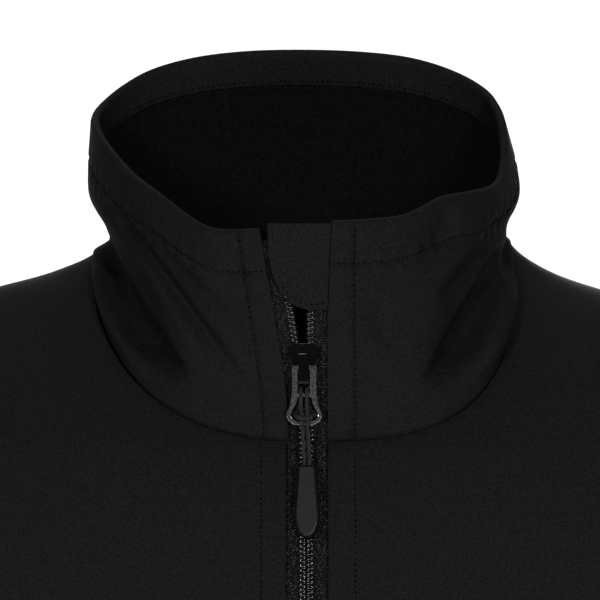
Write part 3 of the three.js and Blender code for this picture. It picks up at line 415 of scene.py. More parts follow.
Level = namedtuple("Level", "z right left front back round_front round_back")
TORSO = [
    Level(-690, 200, 200, 118, 110, 2.4, 2.4),
    Level(-550, 197, 197, 121, 105, 2.4, 2.4),
    Level(-400, 194, 194, 125, 101, 2.4, 2.4),
    Level(-300, 200, 200, 126, 110, 2.4, 2.4),
    Level(-215, 205, 205, 120, 117, 2.4, 2.35),
    Level(-170, 209, 209, 111, 115, 2.4, 2.3),
    Level(-125, 215, 215, 97, 109, 2.35, 2.2),
    Level(-74, 222, 221, 75.5, 94, 2.25, 2.05),
    Level(-62, 219, 218, 68, 89.5, 2.15, 2),
    Level(-45, 212, 211, 55, 83, 2.05, 1.95),
    Level(-36, 190, 188, 47, 79, 2, 1.9),
    Level(-27, 150, 146, 40.5, 75, 2, 1.85),
    Level(-18, 117, 109, 34, 70.5, 2, 1.85),
    Level(-12, 95, 92, 30, 67.5, 2, 1.85),
    Level(-5, 79, 80, 26, 64.5, 2, 1.85),
    Level(0, 74, 75, 24, 62.5, 2, 1.85),
    Level(6, 70, 69, 22, 60, 2, 1.85),
]
print("levels", len(TORSO))


# %% Read a table smoothly
def between(rows, by, key, at):
    """A smooth value between the rows of a table, without overshoot"""
    first, last = rows[0], rows[-1]
    if at <= getattr(first, by):
        return getattr(first, key)
    if at >= getattr(last, by):
        return getattr(last, key)
    row = 0
    while getattr(rows[row + 1], by) < at:
        row += 1

    def slope(k):
        rise = getattr(rows[k + 1], key) - getattr(rows[k], key)
        return rise / (getattr(rows[k + 1], by) - getattr(rows[k], by))

    def slope_at(k):
        if k in (0, len(rows) - 1):
            return slope(min(k, len(rows) - 2))
        before, after = slope(k - 1), slope(k)
        return 0 if before * after <= 0 else 2 * before * after / (before + after)

    span = getattr(rows[row + 1], by) - getattr(rows[row], by)
    f = (at - getattr(rows[row], by)) / span
    low, high = getattr(rows[row], key), getattr(rows[row + 1], key)
    ease = f * f * (3 - 2 * f)
    leave = f * (1 - f) ** 2 * slope_at(row) * span
    arrive = f * f * (1 - f) * slope_at(row + 1) * span
    return low + (high - low) * ease + leave - arrive


def smoothstep(value, start, end):
    share = min(max((value - start) / (end - start), 0), 1)
    return share * share * (3 - 2 * share)


def lerp(a, b, share):
    return a + (b - a) * share


print("half width at the chest", round(between(TORSO, "z", "left", -200), 1), "mm")

# %% [markdown]
# ## Folds placed one by one
# A fold is a soft trough along a bowed line, as seen from the front, or a roll where its depth is
# negative. The collar's two deep hollows run from where it bends at the sides down towards the
# zip. The body's folds start at the underarms and at the waist, and each dies away along its
# length.

# %% Fold tables
Fold = namedtuple("Fold", "start by end depth width fade_in fade_out")
COLLAR_FOLDS = (
    Fold((-82, 6), (-66, -6), (-41, -50), 6.5, 7.5, 0, 0.45),
    Fold((-71, 17), (-50, -5), (-17, -49), 2.2, 5, 0.3, 0.5),
    Fold((-38, -13), (-31, -17), (-22, -21), 0.9, 6, 0.4, 0.4),
    Fold((78, 6), (66, -8), (40, -52), 6, 8, 0, 0.4),
    Fold((44, -20), (55, -17), (69, 2), 1.3, 4.5, 0.4, 0.4),
    Fold((21, -31), (26, -26), (30, -17), 0.8, 5, 0.4, 0.4),
    Fold((50, 20), (52, 4), (38, -4), 1.2, 5, 0.1, 0.5),
    Fold((-84, -4), (-74, -24), (-54, -50), -2.6, 6, 0.1, 0.4),
    Fold((80, -10), (72, -30), (56, -50), -2.4, 6, 0.1, 0.4),
)
FRONT_FOLDS = (
    Fold((205, -235), (150, -275), (70, -330), 5, 22, 0.1, 0.5),
    Fold((-205, -240), (-150, -285), (-80, -345), 5, 22, 0.1, 0.5),
    Fold((200, -380), (120, -420), (50, -405), 4, 24, 0.1, 0.5),
    Fold((-200, -390), (-130, -435), (-45, -420), 4, 24, 0.1, 0.5),
    Fold((140, -470), (120, -560), (130, -660), 3.5, 26, 0.4, 0.4),
    Fold((-130, -480), (-115, -560), (-125, -670), 3, 26, 0.4, 0.4),
)
BACK_FOLDS = (
    Fold((205, -240), (150, -290), (60, -340), 5, 24, 0.1, 0.5),
    Fold((-205, -235), (-150, -285), (-50, -330), 5, 24, 0.1, 0.5),
    Fold((195, -400), (90, -440), (-10, -425), 4, 24, 0.1, 0.4),
    Fold((-195, -375), (-120, -410), (-20, -395), 4, 22, 0.1, 0.4),
    Fold((-90, -480), (-75, -560), (-95, -660), 3.5, 28, 0.4, 0.4),
    Fold((100, -500), (90, -580), (105, -670), 3.5, 28, 0.4, 0.4),
)
BODY_FOLDS = {FRONT: FRONT_FOLDS, BACK: BACK_FOLDS}
print("deepest collar fold", max(fold.depth for fold in COLLAR_FOLDS), "mm")

# %% Depth of the folds
FOLD_SAMPLES = 32
FOLD_REACH = 3


@lru_cache(maxsize=None)
def fold_line(fold):
    """Points along a fold's bowed line"""
    start, by, end = (np.array(place, float) for place in (fold.start, fold.by, fold.end))
    shares = np.linspace(0, 1, FOLD_SAMPLES + 1)[:, None]
    return (1 - shares) ** 2 * start + 2 * shares * (1 - shares) * by + shares**2 * end


@lru_cache(maxsize=None)
def fold_box(fold, reach):
    line = fold_line(fold)
    return tuple(line.min(axis=0) - reach), tuple(line.max(axis=0) + reach)


def far_from(fold, reach, x, z):
    (x_low, z_low), (x_high, z_high) = fold_box(fold, reach)
    return x < x_low or x > x_high or z < z_low or z > z_high


def fold_depth(folds, x, z):
    """How far the folds push the cloth in, at a place seen from the front"""
    total = 0
    for fold in folds:
        if far_from(fold, FOLD_REACH * fold.width, x, z):
            continue
        line = fold_line(fold)
        away = np.hypot(line[:, 0] - x, line[:, 1] - z)
        nearest = int(away.argmin())
        share = nearest / FOLD_SAMPLES
        rise = smoothstep(share, 0, fold.fade_in) if fold.fade_in > 0 else 1
        fall = 1 - smoothstep(share, 1 - fold.fade_out, 1)
        total += fold.depth * rise * fall * math.exp(-((away[nearest] / fold.width) ** 2))
    return total


halfway = fold_line(FRONT_FOLDS[0])[FOLD_SAMPLES // 2]
print("a front's first fold is", round(fold_depth(FRONT_FOLDS, *halfway), 1), "mm deep halfway")

# %% [markdown]
# ## The torso as a function
# Each level is a rounded box, half for the front and half for the back. A place on it is a level
# and a turn: 0 in the middle of the body and 1 at its side. The function gives the point and the
# direction out of the cloth there, and everything that is sewn on uses both.

# %% Torso form
FOLDS_FULL_BY = 60


def level(z, side, facing):
    half = between(TORSO, "z", "right" if side == RIGHT else "left", z)
    depth = between(TORSO, "z", "front" if facing == FRONT else "back", z)
    square = between(TORSO, "z", "round_front" if facing == FRONT else "round_back", z)
    return half, depth, square


def torso_normal(point, side, facing):
    x, y = abs(point.x), abs(point.y)
    step = 0.5

    def fill(z):
        half, depth, square = level(z, side, facing)
        return (x / half) ** square + (y / depth) ** square

    half, depth, square = level(point.z, side, facing)
    return Vector((
        side * square * x ** (square - 1) / half**square,
        facing * square * y ** (square - 1) / depth**square,
        (fill(point.z + step) - fill(point.z - step)) / (2 * step),
    )).normalized()


def torso_spot(z, turn, side, facing):
    half, depth, square = level(z, side, facing)
    angle = min(turn, 1) * math.pi / 2
    x = side * half * math.sin(angle) ** (2 / square)
    y = facing * depth * max(math.cos(angle), 0) ** (2 / square)
    point = Vector((x, y, z))
    normal = torso_normal(point, side, facing)
    fade = smoothstep(abs(y), 0, FOLDS_FULL_BY)
    return point - normal * fade * fold_depth(BODY_FOLDS[facing], x, z), normal


def turn_at(x, z, side, facing):
    half, _, square = level(z, side, facing)
    return math.asin(min(1, abs(x) / half) ** (square / 2)) / (math.pi / 2)


chest_front = torso_spot(-200, 0, LEFT, FRONT)[0]
print("chest front", tuple(round(c, 1) for c in chest_front))

# %% [markdown]
# ## Seam lines
# Panels share their seams. The neck seam is a rounded U in front and a shallow curve behind. The
# armhole is a table of levels and turns. Both are walked at even steps of their real length, so
# that neighbouring pieces put their edges in the same places.

# %% Seam tables and places
BODY_ROWS = [-690, -620, -550, -480, -410, -340, -275, -215]
FRONT_EDGE_ROWS = [-175, -135, -100, -68]
BACK_MIDDLE_ROWS = [-168, -121, -77, -35, 3]
NECK_ROWS = {FRONT: 7, BACK: 6}
ARMHOLE_STEPS = len(FRONT_EDGE_ROWS) + NECK_ROWS[FRONT]
PANEL_ROWS = len(BODY_ROWS) - 1 + ARMHOLE_STEPS
FRONT_EDGE = {RIGHT: 7.2, LEFT: 7.7}
NECK_DROP = 68
NECK_FRONT = {RIGHT: (79.5, 2.3), LEFT: (76.5, 3)}
NECK_BACK_Z = 3
ARMHOLE_MIDDLE = Vector((205, 0, -130))
COLLAR_MIDDLE = Vector((0, 0, 60))
HALVINGS = 40
SEAM_SAMPLES = 240

Hole = namedtuple("Hole", "step z turn")
ARMHOLE = [
    Hole(0, -215, 1),
    Hole(1, -200, 0.816),
    Hole(2, -180, 0.695),
    Hole(3, -155, 0.622),
    Hole(4, -130, 0.596),
    Hole(5, -105, 0.612),
    Hole(6, -80, 0.67),
    Hole(7, -62, 0.763),
    Hole(8, -50, 0.872),
    Hole(9, -45, 1),
]
print("rows of a panel", PANEL_ROWS)


# %% Places along the seams
def neck_front_spot(angle, side):
    half, square = NECK_FRONT[side]
    x = half * math.sin(angle) ** (2 / square)
    return x, -NECK_DROP * max(math.cos(angle), 0) ** (2 / square)


@lru_cache(maxsize=None)
def neck_corner(side):
    """Where the front of the neck seam meets the shoulder: its angle and level"""
    low, high = math.pi / 4, math.pi / 2
    for _ in range(HALVINGS):
        middle = (low + high) / 2
        x, z = neck_front_spot(middle, side)
        if x < level(z, side, FRONT)[0]:
            low = middle
        else:
            high = middle
    return low, neck_front_spot(low, side)[1]


def neck_place(share, side, facing):
    if facing == BACK:
        return lerp(NECK_BACK_Z, neck_corner(side)[1], share * share), share
    half, square = NECK_FRONT[side]
    start = math.asin((FRONT_EDGE[side] / half) ** (square / 2))
    x, z = neck_front_spot(lerp(start, neck_corner(side)[0], share), side)
    return z, 1 if share >= 1 else turn_at(x, z, side, FRONT)


def armhole_place(share, side=None, facing=None):
    step = share * (len(ARMHOLE) - 1)
    return between(ARMHOLE, "step", "z", step), between(ARMHOLE, "step", "turn", step)


@lru_cache(maxsize=None)
def even_shares(place, side, facing):
    """Share of a seam's parameter for each share of its real length"""
    shares = np.linspace(0, 1, SEAM_SAMPLES + 1)
    places = (place(float(share), side, facing) for share in shares)
    points = [torso_spot(z, turn, side, facing)[0] for z, turn in places]
    lengths = np.cumsum([0] + [(b - a).length for a, b in zip(points, points[1:])])
    return lengths / lengths[-1], shares


def seam_place(place, share, side, facing, measured_on):
    lengths, shares = even_shares(place, side, measured_on)
    return place(float(np.interp(share, lengths, shares)), side, facing)


print("neck corners", [round(neck_corner(side)[1], 2) for side in (RIGHT, LEFT)])

# %% [markdown]
# ## A sheet of cloth from a form
# Every cloth piece starts as a flat grid, and its points are then moved onto the form. The grid
# keeps the real lengths along its rows and columns as a UV map, so the weave follows the cut.
# Solidify gives the wall, with the fleece on its inner side, and a small bevel rounds each edge.

# %% Grid of cloth
WELD = 0.01 * MM


def evenly(count):
    return [i / count for i in range(count + 1)]


def cloth_lengths(points, axis):
    """Length of cloth from the first point of each row or column, in metres"""
    steps = np.linalg.norm(np.diff(points, axis=axis), axis=2)
    sums = np.cumsum(steps, axis=axis) * MM
    return np.insert(sums, 0, 0, axis=axis)


def cloth_grid(form, acrosses, ups, closed=False, kept=None):
    """A grid whose points the form places. kept says which cells stay."""
    bm = bmesh.new()
    bmesh.ops.create_grid(bm, x_segments=len(acrosses) - 1, y_segments=len(ups) - 1, size=0.5)
    points = np.array([[list(form(across, up)) for across in acrosses] for up in ups])
    widths, heights = cloth_lengths(points, 1), cloth_lengths(points, 0)
    uv = bm.loops.layers.uv.new("cut")
    cells = {}
    for vert in bm.verts:
        column = round((vert.co.x + 0.5) * (len(acrosses) - 1))
        row = round((vert.co.y + 0.5) * (len(ups) - 1))
        cells[vert] = (row, column)
        vert.co = points[row, column] * MM
    dropped = []
    for bm_face in bm.faces:
        corners = [cells[vert] for vert in bm_face.verts]
        for loop in bm_face.loops:
            loop[uv].uv = (widths[cells[loop.vert]], heights[cells[loop.vert]])
        across = sum(acrosses[column] for row, column in corners) / 4
        up = sum(ups[row] for row, column in corners) / 4
        if kept and not kept(across, up):
            dropped.append(bm_face)
    bmesh.ops.delete(bm, geom=dropped, context="FACES")
    if closed:
        bmesh.ops.remove_doubles(bm, verts=bm.verts, dist=WELD)
    return bm


print("eighths of a piece:", evenly(8))

# %% Sheet with a wall
EDGE_ROUND = 0.55 * MM
EDGE_SEGMENTS = 3
SHARP_FROM = math.radians(55)


def finish_object(name, mesh, materials, smooth=True):
    for material in materials:
        mesh.materials.append(material)
    made = bpy.data.objects.new(name, mesh)
    bpy.context.scene.collection.objects.link(made)
    if smooth:
        mesh.shade_smooth()
    return made


def cloth_piece(name, bm, outwards, wall=WALL, inner=True):
    """The finished sheet: faces towards outwards, a wall, the fleece inside and rounded edges"""
    bm.normal_update()
    leaning = sum(f.normal.dot(outwards(f.calc_center_median())) * f.calc_area() for f in bm.faces)
    if leaning < 0:
        bmesh.ops.reverse_faces(bm, faces=bm.faces)
    mesh = bpy.data.meshes.new(name)
    bm.to_mesh(mesh)
    bm.free()
    made = finish_object(name, mesh, [face, fleece if inner else face])
    solid = made.modifiers.new("wall", "SOLIDIFY")
    solid.thickness = wall * MM
    solid.offset = -1
    solid.material_offset = 1
    solid.material_offset_rim = 0
    bevel = made.modifiers.new("rounded edges", "BEVEL")
    bevel.width = EDGE_ROUND
    bevel.segments = EDGE_SEGMENTS
    bevel.limit_method = "ANGLE"
    bevel.angle_limit = SHARP_FROM
    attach(made, "garment")
    return made


print("edges rounded by", EDGE_ROUND, "m")

# %% [markdown]
# ## Fronts and back
# Each front runs from the zip round to the side seam, up to the armhole, the shoulder and the
# neck. A row of the grid starts on the front edge and then climbs the neck seam, while its other
# end climbs the side seam and then the armhole. The back is two such halves, joined down the
# middle. Real cloth is never quite even, so a slow noise of half a millimetre disturbs it.

# %% Form of the body panels
PANEL_COLUMNS = 66
ROWS_PER_STEP = 6
DRIFT = 0.5
DRIFT_WAVE = 0.016
BODY_LEVELS = len(BODY_ROWS) - 1


def drift(point, share=1.0):
    """A slow unevenness of the cloth, in millimetres"""
    return DRIFT * share * noise.noise(point * DRIFT_WAVE)


def inner_place(row, side, facing):
    upper = FRONT_EDGE_ROWS if facing == FRONT else BACK_MIDDLE_ROWS
    levels = BODY_ROWS + upper
    last = len(levels) - 1
    if row < last:
        edge = FRONT_EDGE[side] if facing == FRONT else 0
        z = float(np.interp(row, range(len(levels)), levels))
        return z, turn_at(edge, z, side, facing)
    share = (row - last) / (PANEL_ROWS - last)
    return seam_place(neck_place, share, side, facing, facing)


def outer_place(row, side, facing):
    if row < BODY_LEVELS:
        return float(np.interp(row, range(len(BODY_ROWS)), BODY_ROWS)), 1
    share = (row - BODY_LEVELS) / ARMHOLE_STEPS
    return seam_place(armhole_place, share, side, facing, FRONT)


def panel_form(side, facing):
    @lru_cache(maxsize=None)
    def ends(row):
        return inner_place(row, side, facing), outer_place(row, side, facing)

    def form(across, up):
        start, end = ends(up)
        z, turn = lerp(start[0], end[0], across), lerp(start[1], end[1], across)
        point, normal = torso_spot(z, turn, side, facing)
        calm_at_edges = math.sin(math.pi * across)
        return point - normal * abs(drift(point, calm_at_edges))

    return form


print("a front's hem starts at", inner_place(0, LEFT, FRONT))


# %% Cut the fronts
def panel_grid(side, facing):
    ups = [row / ROWS_PER_STEP for row in range(PANEL_ROWS * ROWS_PER_STEP + 1)]
    return cloth_grid(panel_form(side, facing), evenly(PANEL_COLUMNS), ups)


def from_middle(point):
    return Vector((point.x, point.y, 0))


for side, name in ((RIGHT, "front_right"), (LEFT, "front_left")):
    cloth_piece(f"{name}_cloth", panel_grid(side, FRONT), from_middle)
    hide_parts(name)

# %% [markdown]
# ## The back in one piece
# The back of such a jacket has no seam down its middle. Its right and left halves come from the
# same function as the fronts, because the body isn't quite even. One half is read into the other
# through a mesh, and the points that meet in the middle are merged into one row.

# %% Join the back's halves
MIDDLE_WELD = 0.02 * MM
back_bm = panel_grid(RIGHT, BACK)
other_half = bpy.data.meshes.new("other_half")
half_bm = panel_grid(LEFT, BACK)
half_bm.to_mesh(other_half)
half_bm.free()
back_bm.from_mesh(other_half)
bpy.data.meshes.remove(other_half)
bmesh.ops.remove_doubles(back_bm, verts=back_bm.verts, dist=MIDDLE_WELD)
bmesh.ops.recalc_face_normals(back_bm, faces=back_bm.faces)
cloth_piece("back_cloth", back_bm, from_middle)
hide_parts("back")

# %% [markdown]
# ## Sleeves
# A sleeve leaves the armhole square to its seam, turns down over the cap, and then follows the
# hanging arm, a little forward of the body. Its sections are ovals from a short table. Troughs
# gather in the bend of the elbow, below the cap and above the cuff.

# %% Sleeve tables
Section = namedtuple("Section", "down x y z across deep")
SLEEVE = [
    Section(0, 265, 0, -235, 56, 73),
    Section(100, 285, 1, -333, 51, 66),
    Section(190, 295, -4, -423, 47, 60),
    Section(300, 303, -15, -532, 40, 50),
    Section(425, 309, -33, -655, 31, 38),
]
SLEEVE_LENGTH = 425
SLEEVE_ROWS = 85
CAP_ROWS = 36
SLEEVE_COLUMNS = 132
Cap = namedtuple("Cap", "hang_out hang_down low high leave arrive")
CAP = Cap(0.85, -0.5, -208, -150, 0.85, 0.9)

Dent = namedtuple("Dent", "at facing depth width reach")
SLEEVE_FOLDS = [
    Dent(25, 180, 5, 16, 80),
    Dent(150, 110, 5, 15, 75),
    Dent(195, 75, 6, 15, 85),
    Dent(240, 130, 5, 15, 75),
    Dent(330, 290, 3.5, 16, 80),
    Dent(385, 60, 3.5, 14, 90),
]
print("sleeve from cap to cuff", SLEEVE_LENGTH, "mm below the armpit")


# %% Square to the armhole
def over_seam(points, normals, towards):
    """Direction in the cloth from each point of a seam over the seam"""
    overs = []
    for i, (point, normal) in enumerate(zip(points, normals)):
        along = points[min(i + 1, len(points) - 1)] - points[max(i - 1, 0)]
        over = along.cross(normal).normalized()
        overs.append(-over if over.dot(towards - point) < 0 else over)
    return overs


@lru_cache(maxsize=None)
def armhole_half(side, facing, steps):
    places = [seam_place(armhole_place, i / steps, side, facing, FRONT) for i in range(steps + 1)]
    spots = [torso_spot(z, turn, side, facing) for z, turn in places]
    points, normals = [spot[0] for spot in spots], [spot[1] for spot in spots]
    middle = Vector((side * ARMHOLE_MIDDLE.x, 0, ARMHOLE_MIDDLE.z))
    overs = over_seam(points, normals, middle)
    overs[0] = Vector((0, 0, 1))
    return list(zip(points, overs))


print("the armpit lies at", tuple(round(c) for c in armhole_half(LEFT, FRONT, 4)[0][0]))


# %% Sleeve form
def arm_section(down, side):
    def read(key, at=down):
        return between(SLEEVE, "down", key, at)

    lower, upper = min(down + 1, SLEEVE_LENGTH), max(down - 1, 0)
    centre = Vector((side * read("x"), read("y"), read("z")))
    axis = Vector((
        side * (read("x", lower) - read("x", upper)),
        read("y", lower) - read("y", upper),
        read("z", lower) - read("z", upper),
    )).normalized()
    across = (Vector((side, 0, 0)) - side * axis.x * axis).normalized()
    deep = across.cross(axis).normalized()
    if deep.y > 0:
        deep.negate()
    return centre, axis, across * read("across"), deep * read("deep")


def sleeve_fold(down, angle):
    total = 0
    for dent in SLEEVE_FOLDS:
        turned = abs((math.degrees(angle) - dent.facing + 540) % 360 - 180)
        lengthways, round_arm = (down - dent.at) / dent.width, turned / dent.reach
        total += dent.depth * math.exp(-(lengthways**2) - round_arm**2)
    return total


def sleeve_form(side):
    half = SLEEVE_COLUMNS // 2
    front, back = (armhole_half(side, facing, half) for facing in (FRONT, BACK))
    ring = front[::-1] + back[1:]
    first_centre, first_axis, first_across, first_deep = arm_section(0, side)
    hanging = Vector((side * CAP.hang_out, 0, CAP.hang_down)).normalized()

    @lru_cache(maxsize=None)
    def section_at(down):
        return arm_section(down, side)

    def form(across, up):
        angle = 2 * math.pi * across
        start, over = ring[round(across * SLEEVE_COLUMNS)]
        if up <= 1:
            goal = first_centre + first_across * math.cos(angle) + first_deep * math.sin(angle)
            goal += (first_centre - goal).normalized() * sleeve_fold(0, angle)
            reach = (goal - start).length
            high = smoothstep(start.z, CAP.low, CAP.high)
            leave = hanging.lerp(over, high).normalized() * CAP.leave * reach
            arrive = first_axis * CAP.arrive * reach
            point = start.lerp(goal, up * up * (3 - 2 * up))
            return point + leave * up * (1 - up) ** 2 - arrive * up * up * (1 - up)
        down = (up - 1) * SLEEVE_LENGTH
        centre, _, wide, deep = section_at(down)
        point = centre + wide * math.cos(angle) + deep * math.sin(angle)
        inwards = (centre - point).normalized()
        return point + inwards * (sleeve_fold(down, angle) + abs(drift(point)))

    return form


print("a cuff is", round(2 * arm_section(SLEEVE_LENGTH, LEFT)[3].length), "mm deep")

# %% [markdown]
# ## Both sleeves
# A sleeve is a flat grid whose two long edges meet under the arm. The form lays them on the same
# line and they are merged there, so the tube is closed, as its seam is. The left sleeve is the
# same form with its sides exchanged.

# %% Make both sleeves
ARM_MIDDLE = Vector((290, -10, 0)) * MM


def from_arm(side):
    def outwards(point):
        return Vector((point.x - side * ARM_MIDDLE.x, point.y - ARM_MIDDLE.y, 0))

    return outwards


SLEEVE_UPS = evenly(CAP_ROWS)[:-1] + [1 + share for share in evenly(SLEEVE_ROWS)]
for side, name in ((RIGHT, "sleeve_right"), (LEFT, "sleeve_left")):
    grid = cloth_grid(sleeve_form(side), evenly(SLEEVE_COLUMNS), SLEEVE_UPS, closed=True)
    cloth_piece(f"{name}_cloth", grid, from_arm(side))
    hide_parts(name)

# %% [markdown]
# ## Collar
# The collar stands on the neck seam and rises to a rim that a short table gives all the way
# round. It swells a little between the two, bows at its front edges, and carries the folds. At
# the rim the cloth turns over and lies on the inside as a band, so it is one sheet here, drafted
# from the neck seam up, over the rim and down to the band's lip.

# %% Collar tables
Rim = namedtuple("Rim", "x y z")
RIM = [
    Rim(-17, -66.5, 8.2), Rim(-36, -63, 8.8), Rim(-54.5, -48, 20.7), Rim(-63.6, -36, 26.7),
    Rim(-73.1, -19, 36), Rim(-78.4, -6, 42.3), Rim(-80.3, 6, 46.4), Rim(-78.2, 17, 50.7),
    Rim(-71.1, 27.5, 56.7), Rim(-59.3, 35, 63.2), Rim(-42.3, 39.8, 68), Rim(-22, 41.7, 70.6),
    Rim(0, 42, 71.1), Rim(22, 41.6, 70.2), Rim(40.1, 39.7, 68), Rim(55.5, 34, 63.4),
    Rim(67.4, 24.5, 57), Rim(72.6, 13, 50), Rim(74.2, 1, 41.7), Rim(73.7, -11, 31.5),
    Rim(71.1, -22, 24.6), Rim(66.8, -31.5, 21.8), Rim(58.2, -42.5, 20.3), Rim(49.3, -49.5, 18.9),
    Rim(42.6, -55, 15.8), Rim(34, -60.3, 12.6), Rim(20, -65, 11.2), Rim(9.3, -66.5, 11),
]
Swell = namedtuple("Swell", "turn swell")
COLLAR_SWELL = [
    Swell(0, 2), Swell(0.12, 4), Swell(0.28, 1.5), Swell(0.38, 2), Swell(0.5, 3.5),
    Swell(0.64, 3), Swell(0.75, 5), Swell(0.88, 4), Swell(1, 2),
]
Bow = namedtuple("Bow", "bow peak reach")
EDGE_BOW = {RIGHT: Bow(2.4, 0.6, 40), LEFT: Bow(-1, 1.2, 25)}
NECK_OVAL = Vector((80, 62, 0))
NECK_OVAL_Y = -8
SWELL_LEAN = 0.9
FOLDS_END_Y = (12, 32)
FOLDS_RISE = (0.12, 0.86)
SEAM_GAP = 0.3
NECK_FINENESS = 6
print("rim places", len(RIM))


# %% The collar's foot
def neck_edge(side, facing):
    steps = NECK_ROWS[facing] * NECK_FINENESS
    places = [seam_place(neck_place, i / steps, side, facing, facing) for i in range(steps + 1)]
    spots = [torso_spot(z, turn, side, facing) for z, turn in places]
    points, normals = [spot[0] for spot in spots], [spot[1] for spot in spots]
    overs = over_seam(points, normals, COLLAR_MIDDLE)
    return [point + over * SEAM_GAP / 2 for point, over in zip(points, overs)]


NECK = neck_edge(RIGHT, FRONT) + neck_edge(RIGHT, BACK)[::-1][1:]
NECK_MIDDLE = len(NECK) - 1
NECK += neck_edge(LEFT, BACK)[1:] + neck_edge(LEFT, FRONT)[::-1][1:]
neck_lengths = np.cumsum([0] + [(b - a).length for a, b in zip(NECK, NECK[1:])])
NECK_LENGTH = float(neck_lengths[-1])
middle_length = neck_lengths[NECK_MIDDLE]
NECK_TURNS = np.where(
    neck_lengths <= middle_length,
    0.5 * neck_lengths / middle_length,
    0.5 + 0.5 * (neck_lengths - middle_length) / (NECK_LENGTH - middle_length),
)
NECK_ARRAY = np.array([list(point) for point in NECK])
print("neck seam", round(NECK_LENGTH, 1), "mm")

# %% [markdown]
# ## From foot to rim
# A place on the collar is a turn, 0 and 1 at the two front edges and a half in the middle of the
# back, and a rise, 0 at the neck seam and 1 at the rim. Both lines are read by the same turn, so a
# straight line between them is one column of the cloth. Swell, bow and folds are added to it.

# %% Collar form
RIM_STEPS = 24
FRONT_SHARE = 0.3
rim_line = smooth_line([Vector(place) for place in RIM], RIM_STEPS)
rim_lengths = np.cumsum([0] + [(b - a).length for a, b in zip(rim_line, rim_line[1:])])
RIM_ARRAY = np.array([list(point) for point in rim_line])
rim_crossing = int(np.argmax((RIM_ARRAY[:, 0] >= 0) & (rim_lengths > FRONT_SHARE * rim_lengths[-1])))
RIM_SHARES = np.interp(
    rim_lengths, [0, rim_lengths[rim_crossing], rim_lengths[-1]], [0, 0.5, 1]
)


def along_line(turn, turns, points):
    return Vector([float(np.interp(turn, turns, points[:, axis])) for axis in range(3)])


@lru_cache(maxsize=None)
def foot_at(turn):
    return along_line(turn, NECK_TURNS, NECK_ARRAY)


@lru_cache(maxsize=None)
def rim_at(turn):
    return along_line(turn, RIM_SHARES, RIM_ARRAY)


@lru_cache(maxsize=None)
def swell_at(turn):
    return between(COLLAR_SWELL, "turn", "swell", turn)


def collar_point(turn, rise):
    point = foot_at(turn).lerp(rim_at(turn), rise)
    out = Vector((point.x / NECK_OVAL.x**2, (point.y - NECK_OVAL_Y) / NECK_OVAL.y**2, 0))
    swell = swell_at(turn) * math.sin(math.pi * rise**SWELL_LEAN)
    bow = EDGE_BOW[RIGHT if turn < 0.5 else LEFT]
    from_edge = min(turn, 1 - turn) * NECK_LENGTH
    fold = fold_depth(COLLAR_FOLDS, point.x, point.z)
    fold *= 1 - smoothstep(point.y, *FOLDS_END_Y)
    fold *= smoothstep(rise, 0, FOLDS_RISE[0]) * (1 - smoothstep(rise, FOLDS_RISE[1], 1))
    point.x += bow.bow * math.sin(math.pi * rise**bow.peak) * math.exp(-from_edge / bow.reach)
    return point + out.normalized() * (swell - fold)


def collar_spot(turn, rise):
    aside, apart = 0.012, 0.03
    along = collar_point(min(turn + aside, 1), rise) - collar_point(max(turn - aside, 0), rise)
    up = collar_point(turn, min(rise + apart, 1)) - collar_point(turn, max(rise - apart, 0))
    return collar_point(turn, rise), up.cross(along).normalized()


print("rim", round(float(rim_lengths[-1]), 1), "mm")

# %% [markdown]
# ## Sharp creases
# The thick cloth doesn't only swell and sink. Where a fold is pressed, one of its sides stands up
# as a lip and the other slopes away softly. A crease here is a trough with two widths, a narrow
# one towards the lip and a wide one away from it, along its own bowed line.

# %% Crease table
Crease = namedtuple("Crease", "start by end depth lip slope fade_in fade_out")
CREASES = (
    Crease((-80, 7), (-69, -14), (-41, -49), 11, 2.4, 10, 0.2, 0.3),
    Crease((-73, 16), (-49, -10), (-16, -55), 4.4, 1.6, 5, 0.15, 0.45),
    Crease((-60, 6), (-42, -10), (-22, -28), 1.4, 2, 5, 0.3, 0.5),
    Crease((-26, -20), (-20, -38), (-14, -60), 0.7, 1.6, 4, 0.4, 0.4),
    Crease((76, 2), (64, -14), (41, -51), 9.5, 2.2, 9, 0.3, 0.3),
    Crease((74, 14), (60, -4), (48, -20), 2.6, 1.6, 5, 0.2, 0.5),
    Crease((47, -18), (58, -14), (68, 2), 1.6, 1.5, 4, 0.3, 0.4),
    Crease((36, -40), (30, -30), (22, -16), 1.4, 1.8, 4.5, 0.4, 0.4),
    Crease((50, 16), (50, 2), (36, -6), 1.2, 1.6, 4, 0.2, 0.5),
)
print("creases", len(CREASES))

# %% Depth of the creases
LIP_SIDE = {RIGHT: 1, LEFT: -1}
CREASE_REACH = 2.2


def crease_depth(x, z):
    """How far the creases push the collar in, at a place seen from the front"""
    total = 0
    for crease in CREASES:
        if far_from(crease, CREASE_REACH * crease.slope, x, z):
            continue
        line = fold_line(crease)
        away = np.hypot(line[:, 0] - x, line[:, 1] - z)
        nearest = min(max(int(away.argmin()), 1), FOLD_SAMPLES - 1)
        along = (line[nearest + 1] - line[nearest - 1]) / 2
        offset = np.array((x, z)) - line[nearest]
        ahead = float(along @ offset) / float(along @ along)
        beside = float(along[0] * offset[1] - along[1] * offset[0]) / math.hypot(*along)
        share = min(max((nearest + ahead) / FOLD_SAMPLES, 0), 1)
        past = max(-nearest - ahead, nearest + ahead - FOLD_SAMPLES, 0) * math.hypot(*along)
        distance = math.hypot(beside, past)
        side = RIGHT if crease.start[0] < 0 else LEFT
        wide = crease.lip if beside * LIP_SIDE[side] > 0 else crease.slope
        rise = smoothstep(share, 0, crease.fade_in)
        fall = 1 - smoothstep(share, 1 - crease.fade_out, 1)
        total += crease.depth * rise * fall * math.exp(-((distance / wide) ** 2))
    return total


